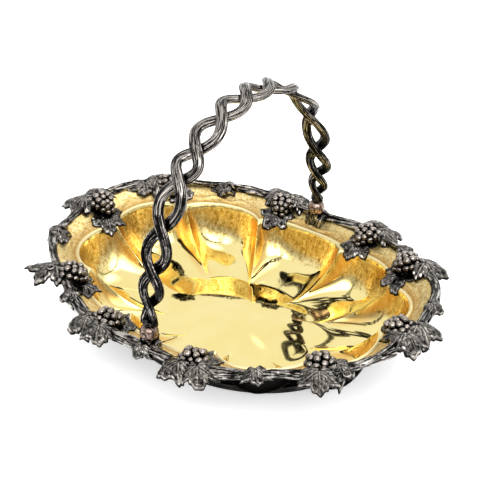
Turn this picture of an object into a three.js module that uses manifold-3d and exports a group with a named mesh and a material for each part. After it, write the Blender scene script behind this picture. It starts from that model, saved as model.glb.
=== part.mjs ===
// Oval fruit basket: a ten-lobed sheet bowl on an oval foot, a cast vine border with grape bunches
// and leaves, and a swing handle of two twisted vine stems. Millimetres, +Z up.
// Origin: centre of the foot on the table. X runs along the oval, and the handle spans Y.
import * as THREE from 'three';
import { mergeVertices } from 'three/addons/utils/BufferGeometryUtils.js';
import Module from 'manifold-3d';

const wasm = await Module();
wasm.setup();

// Border: the vine's centre line in plan is mean + oval cos 2a - scallop cos 8a.
const borderMean = 136;
const borderOval = 19.2;
const borderScallop = 2;
const borderHeight = 53;
const borderWave = 6.7;
const vineRadius = 3.6;

// Bowl: creases between the lobes, and the flange from their arched edges out to the vine.
const creaseAngles = [0, 30.6, 64, 116, 149.4, 180, 210.6, 244, 296, 329.4];
const flangeAtCrease = 33;
const creaseOval = 4.5;
const flangeAtArch = 18.5;
const flangeFall = 10.2;
const fallOval = 3.1;
const troughHeight = 5.6;
// The low dome of the floor is a smooth oval, and the lobes start round it.
const domeLong = 70;
const domeShort = 50;
const domeRise = 5.6;
const domePower = 1.35;
const wallStart = 0.54;
const wallPower = 9;
const slopePower = 1.2;
const slopeShare = 0.15;
const ridgeStart = 0.45;
const ridgePower = 2.3;
const sheetDrop = 1.8;
const archBead = 0.9;
const beadShare = 0.12;
const wallLevels = [0.28, 0.54, 0.72, 0.84, 0.9, 0.945, 0.98];

// Foot: an oval ring, its half length and half width at the table.
const footLong = 101;
const footShort = 79.5;
const footWall = 2.4;
const footFlare = 5.5;

// Handle: half span and rise of its centre line, above the pins.
const pinHeight = 57.5;
const handleSpan = 109.3;
const handleRise = 147.5;
const handleLean = 3;
const strandWidth = 8.5;
const strandThickness = 5.2;
const strandSwing = 8.5;
const strandRise = 2.75;
const endWidth = 6;
const endThickness = 4.3;
const endSwing = 3.9;
const endRise = 2.3;
const swellLength = 56;
// Where the strands cross, in degrees from the top, seen from the middle of the pins.
const crossings = [-88, -77, -64, -49, -34.5, -24.5, -12, -1, 9.5, 24.5, 42, 60, 72.5, 82, 91];

// Hinge: a ball split into two cheeks on the lug and a tongue on the handle.
const ballRadius = 7;
const ballFlat = 6.2;
const tongueThickness = 4.2;
const pinRadius = 1.25;
const pinHeadRadius = 2.2;
const lugWidth = 16;
const lugLength = 12;
const lugTop = 50.3;
const webWidth = 9;
const collarRadius = 5.2;
const collarHeight = 9;
const collarFlatness = 0.52;

const fitGap = 0.3;
const grapeRadius = 3.9;
const bunchRing = 6.6;
const bunchStretch = 1.15;
const bunchRaise = 3.2;
const bunchInset = 10;
const bunchLift = 2.2;
const bunchTilt = THREE.MathUtils.degToRad(20);
const leafThickness = 1.3;
const outwardLeafWidth = 25.5;
const inwardLeafWidth = 23;
const inwardLeafStart = 13;
const leafClearance = 2.4;

// Grape bunches by their angle round the border. Each leaf: angle from the outward direction,
// reach from the vine, and for a flat one how far it bends down.
const clusters = [
  { at: -2, leaves: [[32, 27], [-32, 25], [-78, 20]] },
  { at: 37.5, leaves: [[-14, 27], [-113, 26]] },
  { at: 63.5, leaves: [[-8, 24], [50, 22.5], [-163, 23.5]] },
  { at: 107, leaves: [[38, 28], [-72, 20], [163, 23.5]] },
  { at: 151, leaves: [[78, 24], [-110, 20]] },
  { at: 178.5, leaves: [[28, 28], [-30, 24], [143, 26.5]] },
  { at: 220.5, leaves: [[-12, 31, 20], [110, 23]] },
  { at: 249, leaves: [[-20, 25], [48, 22], [143, 21]] },
  { at: 290, leaves: [[-45, 23.5], [18, 24], [105, 22]] },
  { at: 330, leaves: [[-25, 24], [63, 20]] },
];
// Small leaves that grow on the vine between the bunches.
const stemLeafAngles = [13, 48, 130, 198, 231, 311];

const silver = { color: 0x57534f, roughness: 0.38, metalness: 1 };
const gilt = { color: 0xe6c15e, roughness: 0.16, metalness: 1 };
const footBlack = { color: 0x1c1b1b, roughness: 0.35, metalness: 1 };

const rad = THREE.MathUtils.degToRad;

function borderRadius(a) {
  return borderMean + borderOval * Math.cos(2 * a) - borderScallop * Math.cos(8 * a);
}

function borderZ(a) {
  return borderHeight + borderWave * Math.cos(2 * a);
}

function polar(radius, a, z) {
  return new THREE.Vector3(radius * Math.cos(a), radius * Math.sin(a), z);
}

// Position across its lobe of the direction a: -1 and 1 at the creases, 0 at the middle.
function lobePosition(a) {
  const degrees = THREE.MathUtils.euclideanModulo(THREE.MathUtils.radToDeg(a), 360);
  const next = creaseAngles.findIndex((angle) => angle > degrees);
  const last = creaseAngles.length - 1;
  const start = next < 0 ? creaseAngles[last] : creaseAngles[next - 1];
  const end = next < 0 ? 360 : creaseAngles[next];
  return THREE.MathUtils.mapLinear(degrees, start, end, -1, 1);
}

// How far into its lobe the direction a is: 0 at the creases, 1 in the middle.
function lobeDepth(a) {
  return Math.max(0, 1 - lobePosition(a) ** 2) ** 0.6;
}

function flangeWidth(a) {
  const atCrease = flangeAtCrease - creaseOval * Math.cos(2 * a);
  return THREE.MathUtils.lerp(atCrease, flangeAtArch, lobeDepth(a));
}

function archHeight(a) {
  return borderZ(a) - flangeFall - fallOval * Math.cos(2 * a);
}

function archRadius(a) {
  return borderRadius(a) - flangeWidth(a);
}

// Share of the wall's height at a level: a ramp up the creases, and in the lobes a gentle slope
// that turns up into a steep wall.
function wallShare(a, level) {
  const ridge = Math.max(0, (level - ridgeStart) / (1 - ridgeStart)) ** ridgePower;
  const x = Math.max(0, (level - wallStart) / (1 - wallStart));
  const scoop = slopeShare * x ** slopePower + (1 - slopeShare) * x ** wallPower;
  return THREE.MathUtils.lerp(ridge, scoop, lobeDepth(a));
}

// Top face of the bowl inside the arches: level 0 is the top of the low dome in the middle,
// 1 the arched edge.
function bowlPoint(a, level) {
  const radius = level * archRadius(a);
  const out = radius * Math.hypot(Math.cos(a) / domeLong, Math.sin(a) / domeShort);
  const dome = domeRise * Math.max(0, 1 - out ** domePower);
  const z = troughHeight + dome + (archHeight(a) - troughHeight) * wallShare(a, level);
  return polar(radius, a, z);
}

// Top face of the flange: 0 at the arched edge, 1 against the vine.
function flangePoint(a, along) {
  const outer = borderRadius(a) - vineRadius - fitGap - 0.1;
  const radius = THREE.MathUtils.lerp(archRadius(a), outer, along);
  return polar(radius, a, THREE.MathUtils.lerp(archHeight(a), borderZ(a) - 1, along));
}

function surfaceZ(radius, a) {
  const arch = archRadius(a);
  if (radius >= arch) {
    const outer = borderRadius(a) - vineRadius;
    const along = Math.min(1, (radius - arch) / (outer - arch));
    return flangePoint(a, along).z;
  }
  let low = 0;
  let high = 1;
  for (let step = 0; step < 24; step++) {
    const level = (low + high) / 2;
    const point = bowlPoint(a, level);
    if (Math.hypot(point.x, point.y) < radius) low = level;
    else high = level;
  }
  return bowlPoint(a, low).z;
}

// Joins closed rings of equal length in order, first to last, with a fan over each end.
function skinRings(rings, firstCap, lastCap) {
  const count = rings[0].length;
  const points = rings.flat();
  const faces = [];
  for (let ring = 0; ring + 1 < rings.length; ring++) {
    for (let i = 0; i < count; i++) {
      const j = (i + 1) % count;
      const [here, above] = [ring * count, (ring + 1) * count];
      faces.push(here + i, here + j, above + j, here + i, above + j, above + i);
    }
  }
  points.push(firstCap, lastCap);
  const top = (rings.length - 1) * count;
  for (let i = 0; i < count; i++) {
    const j = (i + 1) % count;
    faces.push(points.length - 2, j, i);
    faces.push(points.length - 1, top + i, top + j);
  }
  return indexed(points, faces);
}

function indexed(points, faces) {
  const geometry = new THREE.BufferGeometry();
  const coordinates = points.flatMap((p) => [p.x, p.y, p.z]);
  geometry.setAttribute('position', new THREE.Float32BufferAttribute(coordinates, 3));
  geometry.setIndex(faces);
  return geometry;
}

function solid(geometry) {
  const bare = geometry.clone();
  bare.deleteAttribute('normal');
  bare.deleteAttribute('uv');
  const merged = mergeVertices(bare, 1e-4);
  return new wasm.Manifold(new wasm.Mesh({
    numProp: 3,
    vertProperties: new Float32Array(merged.attributes.position.array),
    triVerts: new Uint32Array(merged.index.array),
  }));
}

function largestBody(body) {
  return body.decompose().sort((a, b) => b.volume() - a.volume())[0];
}

function meshGeometry(body) {
  const mesh = body.getMesh();
  const geometry = new THREE.BufferGeometry();
  geometry.setAttribute('position', new THREE.Float32BufferAttribute(mesh.vertProperties, 3));
  geometry.setIndex([...mesh.triVerts]);
  return geometry;
}

// Back to a geometry, keeping only the largest body. Rounding can part two bodies that meet at a
// point, so the crumbs are dropped once more after it.
function geometryOf(body) {
  const rounded = solid(meshGeometry(largestBody(body)));
  return meshGeometry(largestBody(rounded));
}

function placed(geometry, x, y, z) {
  return solid(geometry.translate(x, y, z));
}

// Tube round a path, its half width held across the path and its half thickness along up.
function tube(path, halfSizeAt, sides, ups) {
  const rings = path.map((point, k) => {
    const next = path[Math.min(k + 1, path.length - 1)];
    const tangent = next.clone().sub(path[Math.max(k - 1, 0)]).normalize();
    const side = new THREE.Vector3().crossVectors(tangent, ups[k]).normalize();
    const up = new THREE.Vector3().crossVectors(side, tangent);
    const [halfWidth, halfThickness] = halfSizeAt(k);
    return Array.from({ length: sides }, (_, i) => {
      const turn = (2 * Math.PI * i) / sides;
      const corner = point.clone().addScaledVector(side, halfWidth * Math.cos(turn));
      return corner.addScaledVector(up, halfThickness * Math.sin(turn));
    });
  });
  return skinRings(rings.map((ring) => ring.reverse()), path[0], path[path.length - 1]);
}

// Directions round the bowl: the creases, and six more in each lobe, closer near the creases.
function bowlDirections() {
  const across = [-1, -0.9, -0.62, -0.22, 0.22, 0.62, 0.9];
  return creaseAngles.flatMap((start, i) => {
    const end = i + 1 < creaseAngles.length ? creaseAngles[i + 1] : 360;
    return across.map((t) => rad(THREE.MathUtils.mapLinear(t, -1, 1, start, end)));
  });
}

function bowlSolid(grow) {
  const directions = bowlDirections();
  const faces = (lift) => [
    ...wallLevels.map((level) => directions.map((a) => lifted(bowlPoint(a, level), lift))),
    directions.map((a) => lifted(bowlPoint(a, 1), lift + archBead)),
    directions.map((a) => lifted(flangePoint(a, beadShare), lift)),
    directions.map((a) => lifted(flangePoint(a, 1 + grow / 10), lift)),
  ];
  const top = faces(grow);
  const under = faces(-sheetDrop - grow).reverse();
  const centre = (z) => new THREE.Vector3(0, 0, z);
  const rings = [...top, ...under].map((ring) => ring.reverse());
  const middle = troughHeight + domeRise;
  return skinRings(rings, centre(middle + grow), centre(middle - sheetDrop - grow));
}

function lifted(point, dz) {
  return new THREE.Vector3(point.x, point.y, point.z + dz);
}

// The foot's top stays below the lowest part of the lobes near it.
function seatZ(radius, a) {
  return Math.min(...[-5, -2.5, 0, 2.5, 5].map((step) => surfaceZ(radius, a + rad(step))));
}

// Moulded oval ring: each profile point is an offset from the foot's outer oval, and a height.
function footRing() {
  const steps = 44;
  const seat = fitGap + 0.5;
  const profile = [[0, 0], [0, 1.8], [-1.1, 2.6], [-1.3, 3.7], [-2.6, 4.5], [-footFlare, null],
    [-footFlare - footWall, null], [-footWall - 1.8, 2.8], [-footWall, 0]];
  const ovalPoint = (a, [offset, z]) => {
    const x = (footLong + offset) * Math.cos(a);
    const y = (footShort + offset) * Math.sin(a);
    const radius = Math.hypot(x, y);
    const height = z ?? seatZ(radius, Math.atan2(y, x)) - sheetDrop - seat;
    return new THREE.Vector3(x, y, height);
  };
  const points = [];
  const faces = [];
  for (let i = 0; i < steps; i++) {
    const a = (2 * Math.PI * i) / steps;
    profile.forEach((corner) => points.push(ovalPoint(a, corner)));
  }
  const count = profile.length;
  for (let i = 0; i < steps; i++) {
    for (let k = 0; k < count; k++) {
      const [here, next] = [i * count, ((i + 1) % steps) * count];
      const m = (k + 1) % count;
      faces.push(here + k, next + k, next + m, here + k, next + m, here + m);
    }
  }
  return indexed(points, faces);
}

// A length of the vine between two bunches, with slight knots.
function vineTube(fromDegrees, toDegrees, grow) {
  const steps = Math.max(6, Math.round((toDegrees - fromDegrees) / 4.5));
  const path = [];
  for (let k = 0; k <= steps; k++) {
    const a = rad(THREE.MathUtils.lerp(fromDegrees, toDegrees, k / steps));
    path.push(polar(borderRadius(a), a, borderZ(a)));
  }
  const ups = path.map(() => new THREE.Vector3(0, 0, 1));
  const halfSize = (k) => vineRadius + grow + 0.35 * Math.sin(k * 1.9);
  return tube(path, (k) => [halfSize(k), halfSize(k)], 7, ups);
}

// A five-lobed vine leaf, bent along its midrib and domed across it.
function leafSolid({ base, heading, reach, width, pitch, curl, dome, grow = 0 }) {
  const stations = [0, 0.1, 0.24, 0.38, 0.52, 0.66, 0.8, 1];
  const halfWidths = [0.12, 0.44, 0.32, 0.5, 0.3, 0.33, 0.16, 0.03];
  const ahead = new THREE.Vector3(Math.cos(heading), Math.sin(heading), 0);
  const across = new THREE.Vector3(-Math.sin(heading), Math.cos(heading), 0);
  const half = leafThickness / 2 + grow;
  const midrib = base.clone();
  const upper = [];
  const lower = [];
  stations.forEach((station, k) => {
    const angle = rad(pitch - curl * station);
    const along = ahead.clone().multiplyScalar(Math.cos(angle));
    along.z = Math.sin(angle);
    const normal = new THREE.Vector3().crossVectors(along, across).normalize();
    if (k > 0) midrib.addScaledVector(along, (station - stations[k - 1]) * reach);
    [-1, 0, 1].forEach((side) => {
      const point = midrib.clone().addScaledVector(across, side * (halfWidths[k] * width + grow));
      point.addScaledVector(normal, -dome * Math.abs(side) * halfWidths[k]);
      upper.push(point.clone().addScaledVector(normal, half));
      lower.push(point.clone().addScaledVector(normal, -half));
    });
  });
  return leafFaces(upper, lower, stations.length);
}

function leafFaces(upper, lower, rows) {
  const points = [...upper, ...lower];
  const under = upper.length;
  const faces = [];
  const quad = (p, q, r, s) => faces.push(p, q, r, p, r, s);
  for (let k = 0; k + 1 < rows; k++) {
    for (let c = 0; c < 2; c++) {
      const p = k * 3 + c;
      quad(p, p + 3, p + 4, p + 1);
      quad(under + p, under + p + 1, under + p + 4, under + p + 3);
    }
    quad(k * 3, under + k * 3, under + k * 3 + 3, k * 3 + 3);
    quad(k * 3 + 5, under + k * 3 + 5, under + k * 3 + 2, k * 3 + 2);
  }
  const last = (rows - 1) * 3;
  for (let c = 0; c < 2; c++) {
    quad(c + 1, under + c + 1, under + c, c);
    quad(last + c, under + last + c, under + last + c + 1, last + c + 1);
  }
  return indexed(points, faces);
}

function bunchCentre(a) {
  return polar(borderRadius(a) - bunchInset, a, borderZ(a) + bunchLift);
}

// Seven grapes on a core, one of them raised in the middle, tilted with the flange.
function grapeBunch(a) {
  const centre = bunchCentre(a);
  const inward = polar(-Math.cos(bunchTilt), a, -Math.sin(bunchTilt));
  const around = new THREE.Vector3(-Math.sin(a), Math.cos(a), 0);
  const normal = new THREE.Vector3().crossVectors(inward, around).normalize();
  if (normal.z < 0) normal.negate();
  const spots = [[0, 0, bunchRaise]];
  for (let i = 0; i < 6; i++) {
    const turn = (i * Math.PI) / 3;
    spots.push([bunchRing * bunchStretch * Math.cos(turn), bunchRing * Math.sin(turn), 0]);
  }
  const coreShape = new THREE.SphereGeometry(bunchRing - 1, 8, 5).scale(1, 1, 0.6);
  const core = placed(coreShape, centre.x, centre.y, centre.z);
  return spots.reduce((bunch, [u, v, w]) => {
    const spot = centre.clone().addScaledVector(inward, u).addScaledVector(around, v);
    spot.addScaledVector(normal, w);
    return bunch.add(placed(new THREE.IcosahedronGeometry(grapeRadius), spot.x, spot.y, spot.z));
  }, core);
}

// Space that a bunch takes, with the gap its leaves keep.
function grapeKeepOut(a) {
  const centre = bunchCentre(a);
  const reach = bunchRing * bunchStretch + grapeRadius + fitGap;
  return placed(new THREE.SphereGeometry(reach, 10, 6).scale(1, 1, 0.95), centre.x, centre.y, centre.z);
}

function leafAt(clusterAngle, [turn, reach, bend]) {
  const a = rad(clusterAngle);
  const outward = Math.abs(turn) < 90;
  const start = outward ? 0 : inwardLeafStart;
  const shift = outward ? Math.sign(turn) * 5 / borderRadius(a) : 0;
  const radius = borderRadius(a) - start;
  const support = outward ? vineRadius : surfaceZ(radius, a) - borderZ(a) - 0.5;
  return {
    base: polar(radius, a + shift, borderZ(a) + support + leafClearance),
    heading: a + rad(turn),
    reach,
    width: outward ? outwardLeafWidth : inwardLeafWidth,
    pitch: outward ? 2 : -12,
    curl: bend ?? (outward ? 48 : 14),
    dome: outward ? 5 : 2.5,
  };
}

function stemLeaf(degrees) {
  const a = rad(degrees);
  return leafSolid({
    base: polar(borderRadius(a) - 3, a, borderZ(a) + vineRadius + 0.1),
    heading: a,
    reach: 16,
    width: 19,
    pitch: 8,
    curl: 62,
    dome: 4,
  });
}

// Handle centre line: psi is the angle from upright, seen from the middle of the pins.
function handlePoint(psi) {
  const radius = (handleRise + handleSpan) / 2 + ((handleRise - handleSpan) / 2) * Math.cos(2 * psi);
  return new THREE.Vector3(0, radius * Math.sin(psi), radius * Math.cos(psi));
}

// Half turns of the strands up to the direction psi, in degrees: a whole number at each crossing.
function halfTurns(psi) {
  const next = crossings.findIndex((angle) => angle > psi);
  const at = (i) => crossings[THREE.MathUtils.clamp(i, 0, crossings.length - 1)];
  const share = (psi - at(next - 1)) / (at(next) - at(next - 1));
  const slope = (i) => 2 / (at(i + 1) - at(i - 1));
  const step = at(next) - at(next - 1);
  const [start, end] = [slope(next - 1) * step, slope(next) * step];
  const bend = share * (share - 1) * ((start - 1) * (share - 1) + (end - 1) * share);
  return next - 1 + share + bend;
}

function handleSamples(count) {
  const fine = 720;
  const distances = [0];
  const at = (i) => handlePoint((i / fine - 0.5) * Math.PI);
  for (let i = 1; i <= fine; i++) distances.push(distances[i - 1] + at(i).distanceTo(at(i - 1)));
  const length = distances[fine];
  const startLoss = 8;
  return Array.from({ length: count + 1 }, (_, k) => {
    const distance = THREE.MathUtils.lerp(startLoss, length - startLoss, k / count);
    const index = distances.findIndex((d) => d >= distance);
    const share = (distance - distances[index - 1]) / (distances[index] - distances[index - 1]);
    const psi = ((index - 1 + share) / fine - 0.5) * Math.PI;
    return { nearest: Math.min(distance, length - distance), psi };
  });
}

// A flat strand that swings across and passes over and under the other one, half a turn apart.
// The minus sign below sets the sense of the twist.
function strand(turnOffset) {
  const samples = handleSamples(96);
  const swell = (k) => THREE.MathUtils.smoothstep(samples[k].nearest, 0, swellLength);
  const sized = (low, high, k) => THREE.MathUtils.lerp(low, high, swell(k));
  const outs = [];
  const path = samples.map(({ psi }, k) => {
    const turn = Math.PI * halfTurns(THREE.MathUtils.radToDeg(psi)) + turnOffset;
    const middle = handlePoint(psi);
    const ahead = handlePoint(psi + 0.01).sub(handlePoint(psi - 0.01)).normalize();
    const across = new THREE.Vector3(1, 0, 0);
    const outward = new THREE.Vector3().crossVectors(across, ahead);
    if (outward.dot(middle) < 0) outward.negate();
    outs.push(outward);
    const swung = middle.addScaledVector(across, sized(endSwing, strandSwing, k) * Math.sin(turn));
    return swung.clone().addScaledVector(outward, -sized(endRise, strandRise, k) * Math.cos(turn));
  });
  const halfWidth = (k) => sized(endWidth, strandWidth, k) / 2;
  const halfThickness = (k) => sized(endThickness, strandThickness, k) / 2;
  const halfSize = (k) => [halfWidth(k), halfThickness(k)];
  return tube(path, halfSize, 7, outs);
}

function cylinderY(radius, length, sides) {
  return new THREE.CylinderGeometry(radius, radius, length, sides);
}

// Tongue and collar at one end of the handle, about the pin at the origin of the handle group.
function handleKnuckle(side) {
  const y = side * handleSpan;
  const neckWidth = 6.4;
  const neckHeight = 8;
  const disc = placed(cylinderY(ballRadius, tongueThickness, 16), 0, y, 0);
  const neckBox = new THREE.BoxGeometry(neckWidth, tongueThickness, neckHeight);
  const neck = placed(neckBox, 0, y, collarHeight - neckHeight / 2);
  const bore = placed(cylinderY(pinRadius + fitGap, 3 * tongueThickness, 12), 0, y, 0);
  return disc.add(neck).add(collarSolid(side, 0)).subtract(bore);
}

// Flattened ball that the two strands grow from.
function collarSolid(side, grow) {
  const shape = new THREE.SphereGeometry(collarRadius + grow, 12, 6).scale(1, 1, collarFlatness);
  return placed(shape, 0, side * handleSpan, collarHeight);
}

// Block on the vine with the ball's two outer slices, slotted for the tongue.
function hingeLug(side) {
  const y = side * handleSpan;
  const beyond = 40;
  const webHeight = pinHeight - lugTop + 2;
  const slotWidth = tongueThickness + 2 * fitGap + 0.1;
  const slotFloor = lugTop - 0.1;
  const blockDepth = 10;
  const ball = placed(new THREE.SphereGeometry(ballRadius, 16, 10), 0, y, pinHeight);
  const webBox = new THREE.BoxGeometry(webWidth, 2 * ballFlat, webHeight);
  const web = placed(webBox, 0, y, pinHeight - webHeight / 2);
  const flats = placed(new THREE.BoxGeometry(beyond, 2 * ballFlat, beyond), 0, y, pinHeight);
  const slot = placed(new THREE.BoxGeometry(beyond, slotWidth, beyond), 0, y, slotFloor + beyond / 2);
  const bore = placed(cylinderY(pinRadius + fitGap, beyond, 12), 0, y, pinHeight);
  const block = placed(new THREE.BoxGeometry(lugWidth, lugLength, blockDepth), 0, y, lugTop - blockDepth / 2);
  return ball.add(web).intersect(flats).subtract(slot).add(block).subtract(bore);
}

// Riveted pin: a shank with a button head on each end.
function hingePin(side) {
  const y = side * handleSpan;
  const headThickness = 0.9;
  const shank = placed(cylinderY(pinRadius, 2 * ballFlat + 1.6, 12), 0, y, pinHeight);
  const heads = [-1, 1].map((end) => {
    const headY = y + end * (ballFlat + fitGap + headThickness / 2);
    return placed(cylinderY(pinHeadRadius, headThickness, 12), 0, headY, pinHeight);
  });
  return shank.add(heads[0]).add(heads[1]);
}

const group = new THREE.Group();
const handle = new THREE.Group();
handle.position.set(0, 0, pinHeight);
handle.rotation.y = rad(handleLean);
group.add(handle);

function addPart(parent, name, geometry, look) {
  const mesh = new THREE.Mesh(geometry, new THREE.MeshStandardMaterial(look));
  mesh.name = name;
  parent.add(mesh);
}

function two(number) {
  return String(number).padStart(2, '0');
}

addPart(group, 'bowl', geometryOf(solid(bowlSolid(0))), gilt);
addPart(group, 'foot_ring', footRing(), footBlack);

// The vine, in one length from each bunch to the next.
const bowlClearance = solid(bowlSolid(fitGap));
const vineGapDegrees = 0.12;
const spans = clusters.map((cluster, i) => {
  const end = i + 1 < clusters.length ? clusters[i + 1].at : clusters[0].at + 360;
  return [cluster.at, end];
});
const vineRing = spans
  .map(([start, end]) => solid(vineTube(start - vineGapDegrees, end + vineGapDegrees, fitGap)))
  .reduce((ring, piece) => ring.add(piece));

spans.forEach(([start, end], i) => {
  let body = solid(vineTube(start + vineGapDegrees, end - vineGapDegrees, 0));
  stemLeafAngles.filter((angle) => angle > start && angle < end).forEach((angle) => {
    body = body.add(solid(stemLeaf(angle)).subtract(bowlClearance));
  });
  addPart(group, `vine_branch_${two(i + 1)}`, geometryOf(body), silver);
});

clusters.forEach((cluster, i) => {
  const bunch = grapeBunch(rad(cluster.at)).subtract(vineRing).subtract(bowlClearance);
  addPart(group, `grape_bunch_${two(i + 1)}`, geometryOf(bunch), silver);
});

// Each leaf keeps clear of the bunch and of the leaves made before it.
clusters.forEach((cluster, i) => {
  const earlier = [];
  cluster.leaves.forEach((leaf, k) => {
    const settings = leafAt(cluster.at, leaf);
    const keepOut = grapeKeepOut(rad(cluster.at));
    let body = solid(leafSolid(settings)).subtract(vineRing).subtract(bowlClearance).subtract(keepOut);
    earlier.forEach((other) => {
      body = body.subtract(other);
    });
    earlier.push(solid(leafSolid({ ...settings, grow: fitGap })));
    addPart(group, `vine_leaf_${two(i + 1)}_${'abc'[k]}`, geometryOf(body), silver);
  });
});

[1, -1].forEach((side, i) => {
  const lug = hingeLug(side).subtract(vineRing).subtract(bowlClearance);
  addPart(group, `hinge_lug_${i + 1}`, geometryOf(lug), silver);
  addPart(group, `hinge_pin_${i + 1}`, geometryOf(hingePin(side)), silver);
  const a = rad(90 * side);
  const leaf = solid(leafSolid({
    base: polar(borderRadius(a) + 1.6, a, borderZ(a) + vineRadius + 1.2),
    heading: a,
    reach: 14,
    width: 18,
    pitch: -15,
    curl: 55,
    dome: 4,
  }));
  addPart(group, `lug_leaf_${i + 1}`, geometryOf(leaf.subtract(vineRing)), silver);
  addPart(handle, `handle_knuckle_${i + 1}`, geometryOf(handleKnuckle(side)), silver);
});

const collars = [1, -1].map((side) => collarSolid(side, fitGap));
[0, Math.PI].forEach((turn, i) => {
  const body = collars.reduce((stem, collar) => stem.subtract(collar), solid(strand(turn)));
  addPart(handle, `handle_strand_${i + 1}`, geometryOf(body), silver);
});

export default group;
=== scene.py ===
# Swing-handled fruit basket: a ten-lobed gilt bowl, a grapevine border and a twisted vine handle.
import math
import random
import bmesh
import bpy
from mathutils import Matrix, Vector, noise


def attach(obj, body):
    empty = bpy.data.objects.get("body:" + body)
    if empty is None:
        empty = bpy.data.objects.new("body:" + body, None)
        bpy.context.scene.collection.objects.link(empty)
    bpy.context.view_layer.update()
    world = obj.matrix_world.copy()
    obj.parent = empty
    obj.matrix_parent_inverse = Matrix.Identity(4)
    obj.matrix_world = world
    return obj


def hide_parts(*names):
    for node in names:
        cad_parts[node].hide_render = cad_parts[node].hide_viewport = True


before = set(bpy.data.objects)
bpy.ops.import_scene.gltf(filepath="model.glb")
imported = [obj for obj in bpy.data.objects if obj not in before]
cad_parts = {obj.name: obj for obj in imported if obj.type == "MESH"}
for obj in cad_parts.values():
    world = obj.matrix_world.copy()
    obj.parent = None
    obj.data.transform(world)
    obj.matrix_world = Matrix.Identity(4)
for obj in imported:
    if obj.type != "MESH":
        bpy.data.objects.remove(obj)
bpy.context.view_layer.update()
mm = 0.001
white = (1, 1, 1, 1)

# The oval line of the vine, which the bowl and the bunches follow too, as in the solids.
border = {
    "mean": 136 * mm,
    "oval": 19.2 * mm,
    "scallop": 2 * mm,
    "height": 53 * mm,
    "wave": 6.7 * mm,
    "vineRadius": 3.6 * mm,
}


def borderRadius(a):
    return border["mean"] + border["oval"] * math.cos(2 * a) - border["scallop"] * math.cos(8 * a)


def borderHeight(a):
    return border["height"] + border["wave"] * math.cos(2 * a)


def polar(radius, a, z):
    return Vector((radius * math.cos(a), radius * math.sin(a), z))


def borderPoint(a, inset=0.0, lift=0.0):
    return polar(borderRadius(a) - inset, a, borderHeight(a) + lift)


def mix(low, high, share):
    return low + (high - low) * share


def smoothstep(value, low, high):
    t = min(1.0, max(0.0, (value - low) / (high - low)))
    return t * t * (3 - 2 * t)


def band(value, rise, fall):
    # 1 from the end of the rise to the start of the fall, and 0 outside both.
    return smoothstep(value, *rise) * (1 - smoothstep(value, *fall))


def bell(value, middle, width):
    return math.exp(-((value - middle) / width) ** 2)


# Nodes for materials and for the trees that make shapes
def addNode(tree, kind, links=(), **settings):
    node = tree.nodes.new(kind)
    for key, value in settings.items():
        setattr(node, key, value)
    for socket, source in dict(links).items():
        target = node.inputs[socket]
        if isinstance(source, bpy.types.NodeSocket):
            tree.links.new(source, target)
        else:
            target.default_value = source
    return node


def mathNode(tree, operation, *values):
    return addNode(tree, "ShaderNodeMath", dict(enumerate(values)), operation=operation).outputs[0]


def vectorNode(tree, operation, *values):
    node = addNode(tree, "ShaderNodeVectorMath", dict(enumerate(values)), operation=operation)
    return node.outputs["Value" if operation == "DOT_PRODUCT" else "Vector"]


def scaledVector(tree, vector, factor):
    return addNode(tree, "ShaderNodeVectorMath", {0: vector, "Scale": factor}, operation="SCALE").outputs[0]


def heightOf(tree, vector):
    return addNode(tree, "ShaderNodeSeparateXYZ", {0: vector}).outputs[2]


def smoothMix(tree, value, low, high):
    ends = {"Value": value, "From Min": low, "From Max": high}
    return addNode(tree, "ShaderNodeMapRange", ends, interpolation_type="SMOOTHSTEP").outputs[0]


# Materials
def newMaterial(name, metallic=1.0):
    material = bpy.data.materials.new(name)
    material.use_nodes = True
    shader = material.node_tree.nodes["Principled BSDF"]
    shader.inputs["Metallic"].default_value = metallic
    return material, material.node_tree, shader


def attributeNode(tree, name):
    return addNode(tree, "ShaderNodeAttribute", attribute_name=name).outputs["Fac"]


def objectPlace(tree):
    return addNode(tree, "ShaderNodeTexCoord").outputs["Object"]


def objectNoise(tree, scale, detail, roughness=0.55, stretch=None):
    place = objectPlace(tree)
    if stretch:
        place = vectorNode(tree, "MULTIPLY", place, stretch)
    form = {"Vector": place, "Scale": scale, "Detail": detail, "Roughness": roughness}
    return addNode(tree, "ShaderNodeTexNoise", form).outputs["Fac"]


def centredNoise(tree, scale, detail, spread):
    return mathNode(tree, "MULTIPLY_ADD", objectNoise(tree, scale, detail), spread, -spread / 2)


def mixedNoise(tree, fine, coarse, fineShare=0.6):
    rest = mathNode(tree, "MULTIPLY", coarse, 1 - fineShare)
    return mathNode(tree, "MULTIPLY_ADD", fine, fineShare, rest)


def colourRamp(tree, source, stops):
    ramp = addNode(tree, "ShaderNodeValToRGB", {"Fac": source})
    elements = ramp.color_ramp.elements
    while len(elements) < len(stops):
        elements.new(0.5)
    for element, (place, colour) in zip(elements, stops):
        element.position = place
        element.color = (*colour, 1)
    return ramp.outputs["Color"]


def mixColour(tree, share, first, second):
    # A Mix node's colour sockets come after its number and vector sockets.
    return addNode(tree, "ShaderNodeMix", {0: share, 6: first, 7: second}, data_type="RGBA").outputs[2]


def bumpInto(tree, shader, height, distance, strength=1.0):
    bump = addNode(tree, "ShaderNodeBump", {"Height": height, "Distance": distance, "Strength": strength})
    tree.links.new(bump.outputs["Normal"], shader.inputs["Normal"])


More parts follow.
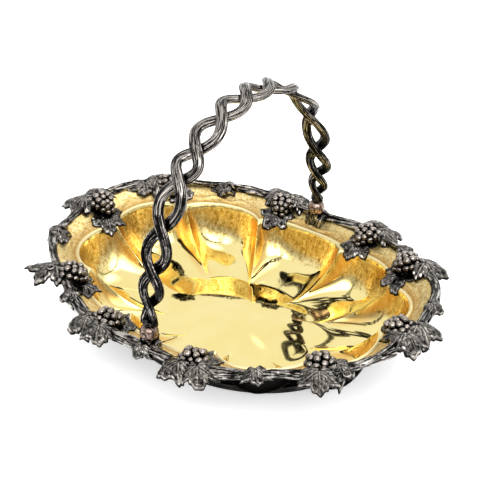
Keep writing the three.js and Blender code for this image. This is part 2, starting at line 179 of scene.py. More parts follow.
bowlFields = ("flange", "chase", "shade", "amber", "bead", "outside")  # kept on the bowl's points
giltLook = {
    "clean": [(0.35, (0.965, 0.83, 0.385)), (0.75, (0.95, 0.78, 0.31))],
    "cloudScale": 45,
    "filmAndShade": [(0.38, (0.31, 0.19, 0.04)), (0.48, (0.78, 0.56, 0.19)), (0.59, (0.97, 0.85, 0.48))],
    "mottleScale": 330,
    "mottleSpread": 2.6,
    "streakScale": 520,
    "streakStretch": (1, 1, 0.14),
    "filmAndShadePatches": (0.15, 0.85),  # from clean gold to full film
    "filmAndShadeStart": (0.0, 0.25),
    "belowArch": (0.40, 0.25, 0.06, 1),
    "belowArchShare": 0.3,
    "belowArchRange": (0.6, 0.95),
    "amber": (0.80, 0.43, 0.08, 1),
    "amberShare": 0.7,
    "flange": [(0.38, (0.48, 0.27, 0.06)), (0.48, (0.90, 0.65, 0.24)), (0.58, (0.99, 0.87, 0.48))],
    "besideArch": (0.42, 0.22, 0.045, 1),
    "besideArchShare": 0.7,
    "bead": (0.98, 0.87, 0.52, 1),
    "outside": (0.016, 0.015, 0.014, 1),
    "outsideEdge": (0.22, 0.21, 0.20, 1),
    "stippleScale": 900,
    "stippleDepth": 0.25 * mm,
    "smearScale": 20,
    "smearRoughness": 0.05,
    "polishedRoughness": 0.025,
    "flangeRoughness": 0.30,
    "filmRoughness": 0.20,
    "filmRoughRange": (0.1, 0.6),
    "outsideRoughness": 0.32,
}


def giltMaterial():
    look = giltLook
    material, tree, shader = newMaterial("giltLining")
    flange, chase, shade, amber, bead, outside = [attributeNode(tree, name) for name in bowlFields]
    stipple = objectNoise(tree, look["stippleScale"], detail=1)
    mottle = objectNoise(tree, look["mottleScale"], detail=6, roughness=0.75)
    streak = objectNoise(tree, look["streakScale"], detail=2, roughness=0.6, stretch=look["streakStretch"])
    clean = colourRamp(tree, objectNoise(tree, look["cloudScale"], detail=4), look["clean"])

    # The lobes are painted with a brown, mottled film below the arches and beside the creases: tarnish, and
    # with it painted shade and a painted reflection of the dark rim.
    filmAndShade = colourRamp(tree, mixedNoise(tree, mottle, streak), look["filmAndShade"])
    # Painted shade: the film is painted darkest right below the arches.
    deepest = smoothMix(tree, shade, *look["belowArchRange"])
    deepest = mathNode(tree, "MULTIPLY", deepest, look["belowArchShare"])
    filmAndShade = mixColour(tree, deepest, filmAndShade, look["belowArch"])
    patch = mathNode(tree, "SUBTRACT", 0.5, mottle)
    patch = mathNode(tree, "MULTIPLY_ADD", patch, look["mottleSpread"], shade)
    filmedAndShaded = smoothMix(tree, patch, *look["filmAndShadePatches"])
    filmedAndShaded = mathNode(tree, "MULTIPLY", filmedAndShaded, smoothMix(tree, shade, *look["filmAndShadeStart"]))
    lining = mixColour(tree, filmedAndShaded, clean, filmAndShade)
    # Painted reflection: gold that is seen twice beside the creases looks amber, so amber is painted there.
    lining = mixColour(tree, mathNode(tree, "MULTIPLY", amber, look["amberShare"]), lining, look["amber"])

    speckle = colourRamp(tree, mixedNoise(tree, mottle, stipple), look["flange"])
    # Painted shade: the flange is painted browner just outside the bead and over its inner half.
    beside = mathNode(tree, "MULTIPLY", shade, look["besideArchShare"])
    speckle = mixColour(tree, beside, speckle, look["besideArch"])
    # Painted highlight: the bead is painted paler than the gold, where it catches the light.
    speckle = mixColour(tree, bead, speckle, look["bead"])
    coat = mixColour(tree, outside, mixColour(tree, flange, lining, speckle), look["outside"])
    tree.links.new(coat, shader.inputs["Base Color"])
    # The blackened outside doesn't brighten where it is seen along its surface.
    edge = mixColour(tree, outside, white, look["outsideEdge"])
    tree.links.new(edge, shader.inputs["Specular Tint"])

    smear = objectNoise(tree, look["smearScale"], detail=3)
    rough = mathNode(tree, "MULTIPLY_ADD", smear, look["smearRoughness"], look["polishedRoughness"])
    rough = mathNode(tree, "MULTIPLY_ADD", flange, look["flangeRoughness"], rough)
    filmedAndShaded = smoothMix(tree, shade, *look["filmRoughRange"])
    rough = mathNode(tree, "MULTIPLY_ADD", filmedAndShaded, look["filmRoughness"], rough)
    rough = mathNode(tree, "MULTIPLY_ADD", outside, look["outsideRoughness"], rough)
    tree.links.new(rough, shader.inputs["Roughness"])

    pits = mathNode(tree, "MULTIPLY", stipple, mathNode(tree, "SUBTRACT", flange, bead))
    bumpInto(tree, shader, mathNode(tree, "SUBTRACT", pits, chase), look["stippleDepth"])
    return material


silverLook = {  # what all the aged silver shares
    "cloudScale": 130,
    "cloudSpread": 0.7,
    "speckScale": 520,
    "speckSpread": 0.8,
    "hollowReach": 2.5 * mm,
    "hollowPower": 1.6,
    "middlePlace": 0.55,
    "middleTone": 0.35,
    "handWearAndLight": 0.42,
    "gloss": 0.16,  # how much smoother the worn silver is than the hollows
    "grainStrength": 0.6,
}
silverFinishes = {
    "leafSilver": {
        "dark": (0.005, 0.0048, 0.0045),
        "bright": (0.60, 0.555, 0.50),
        "wearAndLightRange": (0.37, 1.06),
        "roughness": 0.30,
        "grainScale": 480,
        "grainDepth": 0.35 * mm,
    },
    "grapeSilver": {
        "dark": (0.007, 0.0065, 0.006),
        "bright": (0.52, 0.455, 0.40),
        "wearAndLightRange": (0.34, 1.0),
        "roughness": 0.17,
        "grainScale": 1200,
        "grainDepth": 0.03 * mm,
    },
    "barkSilver": {
        "dark": (0.006, 0.0057, 0.0053),
        "bright": (0.56, 0.52, 0.475),
        "wearAndLightRange": (0.34, 1.02),
        "roughness": 0.32,
        "grainScale": 700,
        "grainDepth": 0.12 * mm,
    },
    "handleSilver": {
        "dark": (0.005, 0.0048, 0.0045),
        "bright": (0.46, 0.425, 0.39),
        "wearAndLightRange": (0.71, 1.34),
        "roughness": 0.32,
        "grainScale": 700,
        "grainDepth": 0.12 * mm,
        # Hand wear and painted light: brighter above these heights.
        "wearAndLightAbove": (0.12, 0.20),
        "blotch": 0.5,
    },
    "knuckleSilver": {
        "dark": (0.025, 0.018, 0.014),
        "bright": (0.38, 0.275, 0.225),
        "wearAndLightRange": (0.1, 0.9),
        "roughness": 0.34,
        "grainScale": 500,
        "grainDepth": 0.25 * mm,
    },
}


def agedSilver(name, dark, bright, wearAndLightRange, roughness, grainScale, grainDepth, wearAndLightAbove=None, blotch=1.0):
    # Bright where the relief stands proud and has worn, dark where the oxide stays. The relief values also
    # carry painted shade, and on the handle painted light.
    look = silverLook
    material, tree, shader = newMaterial(name)
    cloud = centredNoise(tree, look["cloudScale"], detail=4, spread=look["cloudSpread"] * blotch)
    speck = centredNoise(tree, look["speckScale"], detail=2, spread=look["speckSpread"] * blotch)
    raised = mathNode(tree, "ADD", attributeNode(tree, "reliefAndShade"), mathNode(tree, "ADD", cloud, speck))
    if wearAndLightAbove:
        # The top of the handle is painted brighter than its ends: hand wear, and painted light from above.
        topWearAndLight = smoothMix(tree, heightOf(tree, objectPlace(tree)), *wearAndLightAbove)
        raised = mathNode(tree, "MULTIPLY_ADD", topWearAndLight, look["handWearAndLight"], raised)
    reach = {"Distance": look["hollowReach"]}
    hollow = addNode(tree, "ShaderNodeAmbientOcclusion", reach, samples=6).outputs["AO"]
    wearAndLight = mathNode(tree, "MULTIPLY", raised, mathNode(tree, "POWER", hollow, look["hollowPower"]))
    middle = tuple(mix(d, b, look["middleTone"]) for d, b in zip(dark, bright))
    low, high = wearAndLightRange
    stops = [(low, dark), (mix(low, high, look["middlePlace"]), middle), (high, bright)]
    tree.links.new(colourRamp(tree, wearAndLight, stops), shader.inputs["Base Color"])
    rough = mathNode(tree, "MULTIPLY_ADD", wearAndLight, -look["gloss"], roughness)
    tree.links.new(rough, shader.inputs["Roughness"])
    grain = objectNoise(tree, grainScale, detail=2)
    bumpInto(tree, shader, grain, grainDepth, look["grainStrength"])
    return material


footLook = {
    "colours": [(0.3, (0.012, 0.011, 0.011)), (0.7, (0.045, 0.042, 0.04))],
    "cloudScale": 60,
    "roughness": 0.16,
    "cloudRoughness": 0.25,
    "grainScale": 500,
    "grainDepth": 0.05 * mm,
    "grainStrength": 0.5,
}


def footMaterial():
    material, tree, shader = newMaterial("footBlack")
    cloud = objectNoise(tree, footLook["cloudScale"], detail=4)
    tree.links.new(colourRamp(tree, cloud, footLook["colours"]), shader.inputs["Base Color"])
    rough = mathNode(tree, "MULTIPLY_ADD", cloud, footLook["cloudRoughness"], footLook["roughness"])
    tree.links.new(rough, shader.inputs["Roughness"])
    grain = objectNoise(tree, footLook["grainScale"], detail=2)
    bumpInto(tree, shader, grain, footLook["grainDepth"], footLook["grainStrength"])
    return material


gilt = giltMaterial()
leafSilver, grapeSilver, barkSilver, handleSilver, knuckleSilver = [
    agedSilver(name, **finish) for name, finish in silverFinishes.items()
]
footBlack = footMaterial()
print("materials ready")


# Meshes
def placed(name, data):
    made = bpy.data.objects.new(name, data)
    bpy.context.collection.objects.link(made)
    return made


def keepValues(mesh, name, values, kind="FLOAT", part="value"):
    mesh.attributes.new(name, kind, "POINT").data.foreach_set(part, values)


def newMesh(name, points, edges=(), faces=()):
    mesh = bpy.data.meshes.new(name)
    mesh.from_pydata([tuple(point) for point in points], edges, faces)
    return mesh


def meshObject(name, points, faces, material, reliefAndShade=None):
    mesh = newMesh(name, points, (), faces)
    mesh.polygons.foreach_set("use_smooth", [True] * len(mesh.polygons))
    if reliefAndShade:
        keepValues(mesh, "reliefAndShade", reliefAndShade)
    mesh.materials.append(material)
    mesh.update()
    return placed(name, mesh)


def pathObject(name, points, sizes, ups):
    # Each point keeps its half width, its flatness and its up direction for the tree.
    mesh = newMesh(name, points, [(i, i + 1) for i in range(len(points) - 1)])
    keepValues(mesh, "stemRadius", [width for width, _ in sizes])
    keepValues(mesh, "flatness", [thick / width for width, thick in sizes])
    keepValues(mesh, "sectionUp", [number for up in ups for number in up], "FLOAT_VECTOR", "vector")
    return placed(name, mesh)


def ringFaces(rings, count, closed=False):
    # Quads between neighbouring rings of points, and from the last ring to the first if it closes.
    faces = []
    for ring in range(rings if closed else rings - 1):
        here, there = ring * count, (ring + 1) % rings * count
        for i in range(count):
            j = (i + 1) % count
            faces.append((there + i, there + j, here + j, here + i))
    return faces


def cleanMesh(piece):
    # Merges what coincides and turns the faces outward.
    shape = bmesh.new()
    shape.from_mesh(piece.data)
    bmesh.ops.remove_doubles(shape, verts=shape.verts, dist=1e-6)
    bmesh.ops.dissolve_degenerate(shape, dist=1e-7, edges=shape.edges)
    bmesh.ops.recalc_face_normals(shape, faces=shape.faces)
    for face in shape.faces:
        face.smooth = True
    shape.to_mesh(piece.data)
    shape.free()


def bake(piece):
    # What the modifiers make becomes the piece's own mesh, and they go.
    seen = piece.evaluated_get(bpy.context.evaluated_depsgraph_get())
    piece.data = bpy.data.meshes.new_from_object(seen)
    piece.data.name = piece.name
    piece.modifiers.clear()


def joined(name, parts):
    bpy.ops.object.select_all(action="DESELECT")
    for part in parts:
        part.select_set(True)
    bpy.context.view_layer.objects.active = parts[0]
    if len(parts) > 1:
        bpy.ops.object.join()
    parts[0].name = name
    parts[0].data.name = name
    return parts[0]


def stands(piece, body, slotName, *nodes):
    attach(piece, body)
    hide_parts(*nodes)


# Node trees for what follows a path or repeats
def startTree(name, inputs):
    tree = bpy.data.node_groups.new(name, "GeometryNodeTree")
    for label, kind in {"Geometry": "Geometry", **inputs}.items():
        tree.interface.new_socket(label, in_out="INPUT", socket_type=f"NodeSocket{kind}")
    tree.interface.new_socket("Geometry", in_out="OUTPUT", socket_type="NodeSocketGeometry")
    return tree, addNode(tree, "NodeGroupInput").outputs


def endTree(tree, geometry, material):
    real = addNode(tree, "GeometryNodeRealizeInstances", {"Geometry": geometry})
    painted = addNode(tree, "GeometryNodeSetMaterial", {"Geometry": real.outputs[0], "Material": material})
    smooth = addNode(tree, "GeometryNodeSetShadeSmooth", {0: painted.outputs[0]})
    addNode(tree, "NodeGroupOutput", {"Geometry": smooth.outputs[0]})


def field(tree, name, kind="FLOAT"):
    return addNode(tree, "GeometryNodeInputNamedAttribute", {"Name": name}, data_type=kind).outputs[0]


def keepField(tree, geometry, name, value, kind="FLOAT"):
    links = {"Geometry": geometry, "Name": name, "Value": value}
    return addNode(tree, "GeometryNodeStoreNamedAttribute", links, data_type=kind, domain="POINT").outputs[0]


def moved(tree, geometry, offset):
    return addNode(tree, "GeometryNodeSetPosition", {"Geometry": geometry, "Offset": offset}).outputs[0]


def ball(tree, radius, subdivisions):
    links = {"Radius": radius, "Subdivisions": subdivisions}
    return addNode(tree, "GeometryNodeMeshIcoSphere", links).outputs[0]


def onPoints(tree, points, shape, seed, sizes):
    # The shape on every point, each at its own size between two.
    low, high = sizes
    size = addNode(tree, "FunctionNodeRandomValue", {"Seed": seed, 2: low, 3: high}, data_type="FLOAT")
    links = {"Points": points, "Instance": shape, "Scale": size.outputs[1]}
    return addNode(tree, "GeometryNodeInstanceOnPoints", links).outputs[0]


def runTree(piece, tree, values):
    modifier = piece.modifiers.new(tree.name, "NODES")
    modifier.node_group = tree
    for item in tree.interface.items_tree:
        if item.in_out == "INPUT" and item.name in values:
            modifier[item.identifier] = values[item.name]
    bake(piece)
    return piece


barkForm = {
    "ridges": 9.5,  # how steeply the bark rises out of a groove
    "waviness": 0.4,
    "seedStep": 7.3,
    "level": 0.7,  # the relief that lies at the stem's own size
    "knotRelief": 1.15,
    "knotSizes": (0.55, 1.1),
}


def barkStemTree():
    # A round stem along a path, with wavy bark grooves along it and small knots.
    tree, inputs = startTree("barkStem", {
        "Sides": "Int",
        "Grooves": "Float",
        "Groove Depth": "Float",
        "Groove Length": "Float",
        "Knots": "Float",
        "Knot Size": "Float",
        "Seed": "Int",
        "Material": "Material",
    })
    position = addNode(tree, "GeometryNodeInputPosition").outputs[0]
    spline = addNode(tree, "GeometryNodeSplineParameter").outputs
    upward = field(tree, "sectionUp", "FLOAT_VECTOR")
    path = addNode(tree, "GeometryNodeMeshToCurve", {"Mesh": inputs["Geometry"]}).outputs[0]
    path = keepField(tree, path, "along", spline["Length"])
    path = keepField(tree, path, "centre", position, "FLOAT_VECTOR")
    rail = addNode(tree, "GeometryNodeSetCurveNormal", {"Curve": path, "Normal": upward}, mode="FREE")
    circle = addNode(tree, "GeometryNodeCurvePrimitiveCircle", {"Resolution": inputs["Sides"], "Radius": 1.0})
    section = keepField(tree, circle.outputs[0], "around", spline["Factor"])
    stem = addNode(tree, "GeometryNodeCurveToMesh", {
        "Curve": rail.outputs[0],
        "Profile Curve": section,
        "Scale": field(tree, "stemRadius"),
        "Fill Caps": True,
    }).outputs[0]

    # The round section is pressed flat along its up direction.
    away = vectorNode(tree, "SUBTRACT", position, field(tree, "centre", "FLOAT_VECTOR"))
    pressed = mathNode(tree, "SUBTRACT", field(tree, "flatness"), 1.0)
    pressed = mathNode(tree, "MULTIPLY", vectorNode(tree, "DOT_PRODUCT", away, upward), pressed)
    stem = moved(tree, stem, scaledVector(tree, upward, pressed))

    # The noise closes round the section and is drawn out along the stem.
    turn = mathNode(tree, "MULTIPLY", field(tree, "around"), math.tau)
    east = mathNode(tree, "MULTIPLY", mathNode(tree, "COSINE", turn), inputs["Grooves"])
    north = mathNode(tree, "MULTIPLY", mathNode(tree, "SINE", turn), inputs["Grooves"])
    far = mathNode(tree, "DIVIDE", field(tree, "along"), inputs["Groove Length"])
    shifted = mathNode(tree, "MULTIPLY_ADD", inputs["Seed"], barkForm["seedStep"], far)
    place = addNode(tree, "ShaderNodeCombineXYZ", {"X": east, "Y": north, "Z": shifted}).outputs[0]
    form = {"Vector": place, "Scale": 1.0, "Detail": 1.0, "Distortion": barkForm["waviness"]}
    grain = addNode(tree, "ShaderNodeTexNoise", form).outputs[0]
    away = mathNode(tree, "ABSOLUTE", mathNode(tree, "SUBTRACT", grain, 0.5))
    bark = mathNode(tree, "MINIMUM", mathNode(tree, "MULTIPLY", away, barkForm["ridges"]), 1.0)
    stem = keepField(tree, stem, "reliefAndShade", bark)
    normal = addNode(tree, "GeometryNodeInputNormal").outputs["Normal"]
    raised = mathNode(tree, "SUBTRACT", bark, barkForm["level"])
    raised = mathNode(tree, "MULTIPLY", raised, inputs["Groove Depth"])
    stem = moved(tree, stem, scaledVector(tree, normal, raised))

    spread = {"Mesh": stem, "Density": inputs["Knots"], "Seed": inputs["Seed"]}
    spots = addNode(tree, "GeometryNodeDistributePointsOnFaces", spread).outputs[0]
    knot = keepField(tree, ball(tree, inputs["Knot Size"], 2), "reliefAndShade", barkForm["knotRelief"])
    both = addNode(tree, "GeometryNodeJoinGeometry")
    for geometry in (onPoints(tree, spots, knot, inputs["Seed"], barkForm["knotSizes"]), stem):
        tree.links.new(geometry, both.inputs[0])
    endTree(tree, both.outputs[0], inputs["Material"])
    return tree


barkStem = barkStemTree()


def barkPiece(name, points, sizes, bark, seed, ups=None, material=barkSilver):
    path = pathObject(name, points, sizes, ups or [Vector((0, 0, 1))] * len(points))
    return runTree(path, barkStem, {**bark, "Seed": seed, "Material": material})


# Bowl
bowl = {
    "creases": [0, 30.6, 64, 116, 149.4, 180, 210.6, 244, 296, 329.4],
    "columnsPerLobe": 54,
    "atCrease": 33 * mm,
    "creaseOval": 4.5 * mm,
    "atArch": 18.5 * mm,
    "fall": 10.2 * mm,
    "fallOval": 3.1 * mm,
    "trough": 5.6 * mm,
    "dome": 5.6 * mm,
    "domeLong": 70 * mm,
    "domeShort": 50 * mm,
    "domePower": 1.35,
    "wallStart": 0.54,
    "wallMiddle": 0.84,
    "wallPower": 9,
    "slopePower": 1.2,
    "slopeShare": 0.15,
    "lobeFullness": 0.6,
    "ridgeStart": 0.45,
    "ridgePower": 2.3,
    "ridgeRound": 0.07,
    "rings": (16, 14, 30, 8, 30),  # on the floor, the lower wall, the upper wall, the bead and the flange
    "sheet": 1.8 * mm,
    "bead": 1.7 * mm,
    "beadWidth": 0.17,
    "beadPower": 0.8,
    "chasedRidge": 0.6 * mm,  # follows the arches along the flange
    "chasedPlace": 0.44,
    "chasedWave": 0.10,
    "chasedWidth": 0.06,
    "underVine": 1.6 * mm,  # how near the vine's middle line the flange ends, under it
    "underVineDrop": 1.2 * mm,
}
# Where the bowl's painted shade, painted reflection and painted highlight lie, along with the tarnish film,
# the flange and its chasing.
filmAndShade = {  # each range in shares of half a lobe's width, of the wall's height or of the flange's width
    "belowArch": ((0.86, 0.99), (0.995, 1.0)),
    "belowArchDepth": 0.95,
    "besideCrease": ((0.80, 0.92), (0.93, 0.98)),
    "besideCreaseHeight": (0.70, 0.90),
    "besideCreaseDepth": 0.9,
    "amber": ((0.66, 0.88), (0.92, 0.975)),
    "amberHeight": ((0.50, 0.80), (0.99, 1.0)),
    "flangeStart": (0.02, 0.05),
    "bead": ((0.0, 0.03), (0.16, 0.19)),
    "besideBead": (0.24, 0.08),  # the middle of a dark band and its width
    "innerFlange": (0.3, 0.75),
    "innerFlangeDepth": 0.55,
    "chaseDepth": 0.7,
    "chaseShift": 0.12,
}


def lobeColumns():
    # Angles and places across each lobe, -1 and 1 at its creases, closer together near them.
    columns = []
    count = bowl["columnsPerLobe"]
    creases = bowl["creases"] + [360]
    for start, end in zip(creases, creases[1:]):
        for i in range(count):
            t = math.sin(math.pi * (i / count - 0.5))
            columns.append((math.radians(mix(start, end, (t + 1) / 2)), t))
    return columns


def lobeDepth(t):
    # How far into its lobe a place is: 0 on the creases, which are slightly rounded, 1 in the middle.
    edge = 1 - abs(t)
    rounded = math.hypot(edge, bowl["ridgeRound"]) - bowl["ridgeRound"]
    return max(0.0, rounded * (2 - rounded)) ** bowl["lobeFullness"]


def archHeight(a):
    return borderHeight(a) - bowl["fall"] - bowl["fallOval"] * math.cos(2 * a)


def archRadius(a, t):
    atCrease = bowl["atCrease"] - bowl["creaseOval"] * math.cos(2 * a)
    return borderRadius(a) - mix(atCrease, bowl["atArch"], lobeDepth(t))


def flangeEnd(a):
    return borderRadius(a) - bowl["underVine"]


def pastStart(level, start):
    return max(0.0, (level - start) / (1 - start))


def bowlPoint(a, t, level):
    # Level 0 is the top of the low dome in the middle, 1 the arched edge.
    ridge = pastStart(level, bowl["ridgeStart"]) ** bowl["ridgePower"]
    wall = pastStart(level, bowl["wallStart"])
    scoop = mix(wall ** bowl["wallPower"], wall ** bowl["slopePower"], bowl["slopeShare"])
    radius = level * archRadius(a, t)
    out = radius * math.hypot(math.cos(a) / bowl["domeLong"], math.sin(a) / bowl["domeShort"])
    dome = bowl["dome"] * max(0.0, 1 - out ** bowl["domePower"])
    z = bowl["trough"] + dome + (archHeight(a) - bowl["trough"]) * mix(ridge, scoop, lobeDepth(t))
    return polar(radius, a, z)


def chasedShare(t, along):
    wave = bowl["chasedWave"] * math.sin(3 * math.pi * t) * (1 - t * t)
    return bell(along, bowl["chasedPlace"] + wave, bowl["chasedWidth"])


def flangePoint(a, t, along):
    height = mix(archHeight(a), borderHeight(a) - bowl["underVineDrop"], along)
    height += bowl["chasedRidge"] * chasedShare(t, along)
    if along < bowl["beadWidth"]:
        height += bowl["bead"] * math.sin(math.pi * along / bowl["beadWidth"]) ** bowl["beadPower"]
    return polar(mix(archRadius(a, t), flangeEnd(a), along), a, height)


def surfaceHeight(radius, a):
    # Height of the bowl's top face at a distance from the middle.
    degrees = math.degrees(a) % 360
    creases = bowl["creases"] + [360]
    k = max(i for i, angle in enumerate(creases[:-1]) if angle <= degrees)
    t = 2 * (degrees - creases[k]) / (creases[k + 1] - creases[k]) - 1
    arch = archRadius(a, t)
    if radius >= arch:
        return flangePoint(a, t, min(1, (radius - arch) / (flangeEnd(a) - arch))).z
    low, high = 0.0, 1.0
    for _ in range(20):
        level = (low + high) / 2
        if bowlPoint(a, t, level).xy.length < radius:
            low = level
        else:
            high = level
    return bowlPoint(a, t, low).z


def wallShade(t, level):
    # 1 just below the arch, and beside the creases on the upper half of the wall.
    below = band(level, *filmAndShade["belowArch"])
    beside = band(abs(t), *filmAndShade["besideCrease"]) * smoothstep(level, *filmAndShade["besideCreaseHeight"])
    return max(filmAndShade["belowArchDepth"] * below, filmAndShade["besideCreaseDepth"] * beside)


def wallAmber(t, level):
    # Painted reflection: the share of amber painted beside the creases on the upper wall.
    return band(abs(t), *filmAndShade["amber"]) * band(level, *filmAndShade["amberHeight"])


def flangeShade(along):
    # Painted shade on the flange: a dark band beside the bead and a darker inner half.
    inner = 1 - smoothstep(along, *filmAndShade["innerFlange"])
    return max(bell(along, *filmAndShade["besideBead"]), filmAndShade["innerFlangeDepth"] * inner)


def stepsUp(low, high, count):
    # Evenly spaced values above the low one, up to the high one.
    return [mix(low, high, k / count) for k in range(1, count + 1)]


def makeBowl():
    columns = lobeColumns()
    count = len(columns)
    floorRings, lowRings, highRings, beadRings, flangeRings = bowl["rings"]
    levels = stepsUp(0, bowl["wallStart"], floorRings)
    levels += stepsUp(bowl["wallStart"], bowl["wallMiddle"], lowRings)
    levels += stepsUp(bowl["wallMiddle"], 1, highRings)
    alongs = stepsUp(0, bowl["beadWidth"], beadRings) + stepsUp(bowl["beadWidth"], 1, flangeRings)
    points = []
    fields = {name: [] for name in bowlFields}

    def addRing(ring, **values):
        # A value is one number for the whole ring or a list with one for each point.
        points.extend(ring)
        for name, kept in fields.items():
            value = values.get(name, 0.0)
            kept.extend(value if isinstance(value, list) else [value] * len(ring))

    for level in levels:
        addRing(
            [bowlPoint(a, t, level) for a, t in columns],
            shade=[wallShade(t, level) for a, t in columns],
            amber=[wallAmber(t, level) for a, t in columns],
        )
    for along in alongs:
        addRing(
            [flangePoint(a, t, along) for a, t in columns],
            flange=smoothstep(along, *filmAndShade["flangeStart"]),
            bead=band(along, *filmAndShade["bead"]),
            shade=flangeShade(along),
            chase=[filmAndShade["chaseDepth"] * chasedShare(t, along + filmAndShade["chaseShift"]) for a, t in columns],
        )

    # The outer face follows every third ring of the inner one, back to the middle.
    last = len(levels) + len(alongs) - 1
    under = [ring for ring in range(last, -1, -1) if (last - ring) % 3 == 0 or ring == 0]
    for ring in under:
        onBead = len(levels) <= ring < len(levels) + beadRings
        drop = Vector((0, 0, bowl["sheet"] + (bowl["bead"] / 2 if onBead else 0)))
        addRing(
            [point - drop for point in points[ring * count:(ring + 1) * count]],
            flange=fields["flange"][ring * count],
            outside=0.0 if ring == last else 1.0,
        )
    rings = last + 1 + len(under)
    faces = ringFaces(rings, count)
    middle = bowl["trough"] + bowl["dome"]
    for height, ring, outside in ((middle, 0, 0.0), (middle - bowl["sheet"], rings - 1, 1.0)):
        addRing([Vector((0, 0, height))], outside=outside)
        for i in range(count):
            pair = (ring * count + i, ring * count + (i + 1) % count)
            faces.append((*(reversed(pair) if outside else pair), len(points) - 1))
    made = meshObject("bowlSheet", points, faces, gilt)
    for name, values in fields.items():
        keepValues(made.data, name, values)
    return made


stands(makeBowl(), "basket", "gilt", "bowl")
print("bowl made")


# Foot
foot = {
    "long": 101 * mm,
    "short": 79.5 * mm,
    "steps": 540,
    "seat": 0.6,  # where in the bowl's sheet the wall ends, as a share of its thickness
    "profile": [  # offset from the outer oval and height in millimetres, no height where it meets the bowl
        (-0.3, 0), (0, 0.35), (0, 1.5), (-0.2, 1.9), (-0.7, 2.2), (-1.05, 2.6), (-1.1, 3.2), (-1.25, 3.7),
        (-1.8, 4.1), (-2.6, 4.5), (-3.8, 4.9), (-5.5, None), (-7.9, None), (-6.0, 4.0), (-4.2, 2.8),
        (-3.0, 1.3), (-2.4, 0.3), (-2.2, 0),
    ],
}


def makeFoot():
    # The wall is cut to the lobes and rises between them, so that no slit shows there.
    points = []
    for i in range(foot["steps"]):
        a = math.tau * i / foot["steps"]
        for offset, height in foot["profile"]:
            x = (foot["long"] + offset * mm) * math.cos(a)
            y = (foot["short"] + offset * mm) * math.sin(a)
            if height is None:
                z = surfaceHeight(math.hypot(x, y), math.atan2(y, x)) - foot["seat"] * bowl["sheet"]
            else:
                z = height * mm
            points.append(Vector((x, y, z)))
    faces = ringFaces(foot["steps"], len(foot["profile"]), closed=True)
    return meshObject("footRing", points, faces, footBlack)


stands(makeFoot(), "basket", "foot_silver", "foot_ring")
print("foot made")


# Vine leaves
leafForm = {
    "angles": 132,
    "rings": 15,
    "ringCrowding": 0.85,
    "petiole": 0.14,  # where the stalk meets the blade, as a share of the reach
    "lobes": [(0, 0.86, 42), (52, 0.76, 35), (-52, 0.76, 35), (110, 0.62, 40), (-110, 0.62, 40)],
    "lobeEnd": 1.45,
    "lobeFall": 0.50,
    "lobePower": 1.15,
    "betweenLobes": 0.13,
    "narrowest": 0.12,
    "teeth": 21,
    "toothDepth": 0.07,
    "toothShift": 0.37,
    "twist": 8,
    "stalkBend": -0.2,  # how far behind the stalk the blade still bends
    "sideDroop": (0.8, 1.3),
    "droopPower": 1.7,
    "thickness": 1.1 * mm,
    "edgeThinning": 0.25,
    "underRelief": 0.6,
    "edgeRoll": 1.5 * mm,
    "edgeRollRange": (0.8, 1.0),
    "waves": 5,
    "wave": 0.9 * mm,
    "wavePower": 3,
    "dents": 0.8 * mm,
    "dentScale": 4.5,
    "dentStep": 1.7,
    "clearance": (1.0 * mm, 0.15 * mm),  # of the upper and the lower face where the blade rests on the flange
}
veinForm = {
    "height": 0.7 * mm,
    "width": 0.024,
    "reach": 0.9,
    "fade": 0.5,
    "sideStep": 0.24,
    "sideSlant": 0.8,
    "sideShare": 0.45,
    "sideSharpness": 8,
    "blade": ((0.0, 0.06), (0.2, 0.34)),
    "puff": 0.45 * mm,
    "puffPower": 0.8,
    "swelling": 0.75 * mm,
    "swellingLevel": 0.6,
    "swellingWave": 0.4,
}
leafTone = {
    "blade": 0.24,
    "vein": 0.75,
    "swelling": 0.55,
    "rim": 0.4,
    "rimRange": ((0.80, 0.90), (0.92, 0.97)),
    # Painted shade: a dark outline at the blade's very edge.
    "edgeShade": 0.85,
    "edgeRange": (0.93, 0.99),
    "brightest": 1.2,
    # Painted shade on the undersides, with the oxide that stays there.
    "under": 0.05,
}


def leafOutline(degrees, seed):
    best = leafForm["betweenLobes"]
    for direction, length, spread in leafForm["lobes"]:
        away = abs((degrees - direction + 180) % 360 - 180) / spread
        if away < leafForm["lobeEnd"]:
            best = max(best, length * (1 - leafForm["lobeFall"] * away ** leafForm["lobePower"]))
    tooth = (degrees / 360 * leafForm["teeth"] + seed * leafForm["toothShift"]) % 1
    jag = leafForm["toothDepth"] * (abs(tooth - 0.5) * 2 - 0.5)
    return max(leafForm["narrowest"], best + jag * min(1, best * 2))


def leafRelief(x, y, rho):
    # Height and tone of raised veins down each lobe, their side veins, and a blade that puffs between them.
    vein, swelling = 0.0, 0.0
    for direction, length, _ in leafForm["lobes"]:
        turn = math.radians(direction)
        u = x * math.cos(turn) + y * math.sin(turn)
        v = abs(-x * math.sin(turn) + y * math.cos(turn))
        if u <= 0 or v > u * veinForm["reach"]:
            continue
        fade = 1 - veinForm["fade"] * min(1, u / length)
        side = math.cos(math.tau * (u - veinForm["sideSlant"] * v) / veinForm["sideStep"])
        inBlade = band(v, *veinForm["blade"]) * fade
        sideVein = veinForm["sideShare"] * max(0.0, side) ** veinForm["sideSharpness"]
        vein = max(vein, bell(v, 0, veinForm["width"]) * fade, sideVein * inBlade)
        swelling = max(swelling, (veinForm["swellingLevel"] - veinForm["swellingWave"] * side) * inBlade)
    puff = math.sin(min(1, rho) * math.pi) ** veinForm["puffPower"]
    height = vein * veinForm["height"] + puff * veinForm["puff"] + swelling * veinForm["swelling"]
    return height, leafTone["vein"] * vein + leafTone["swelling"] * swelling


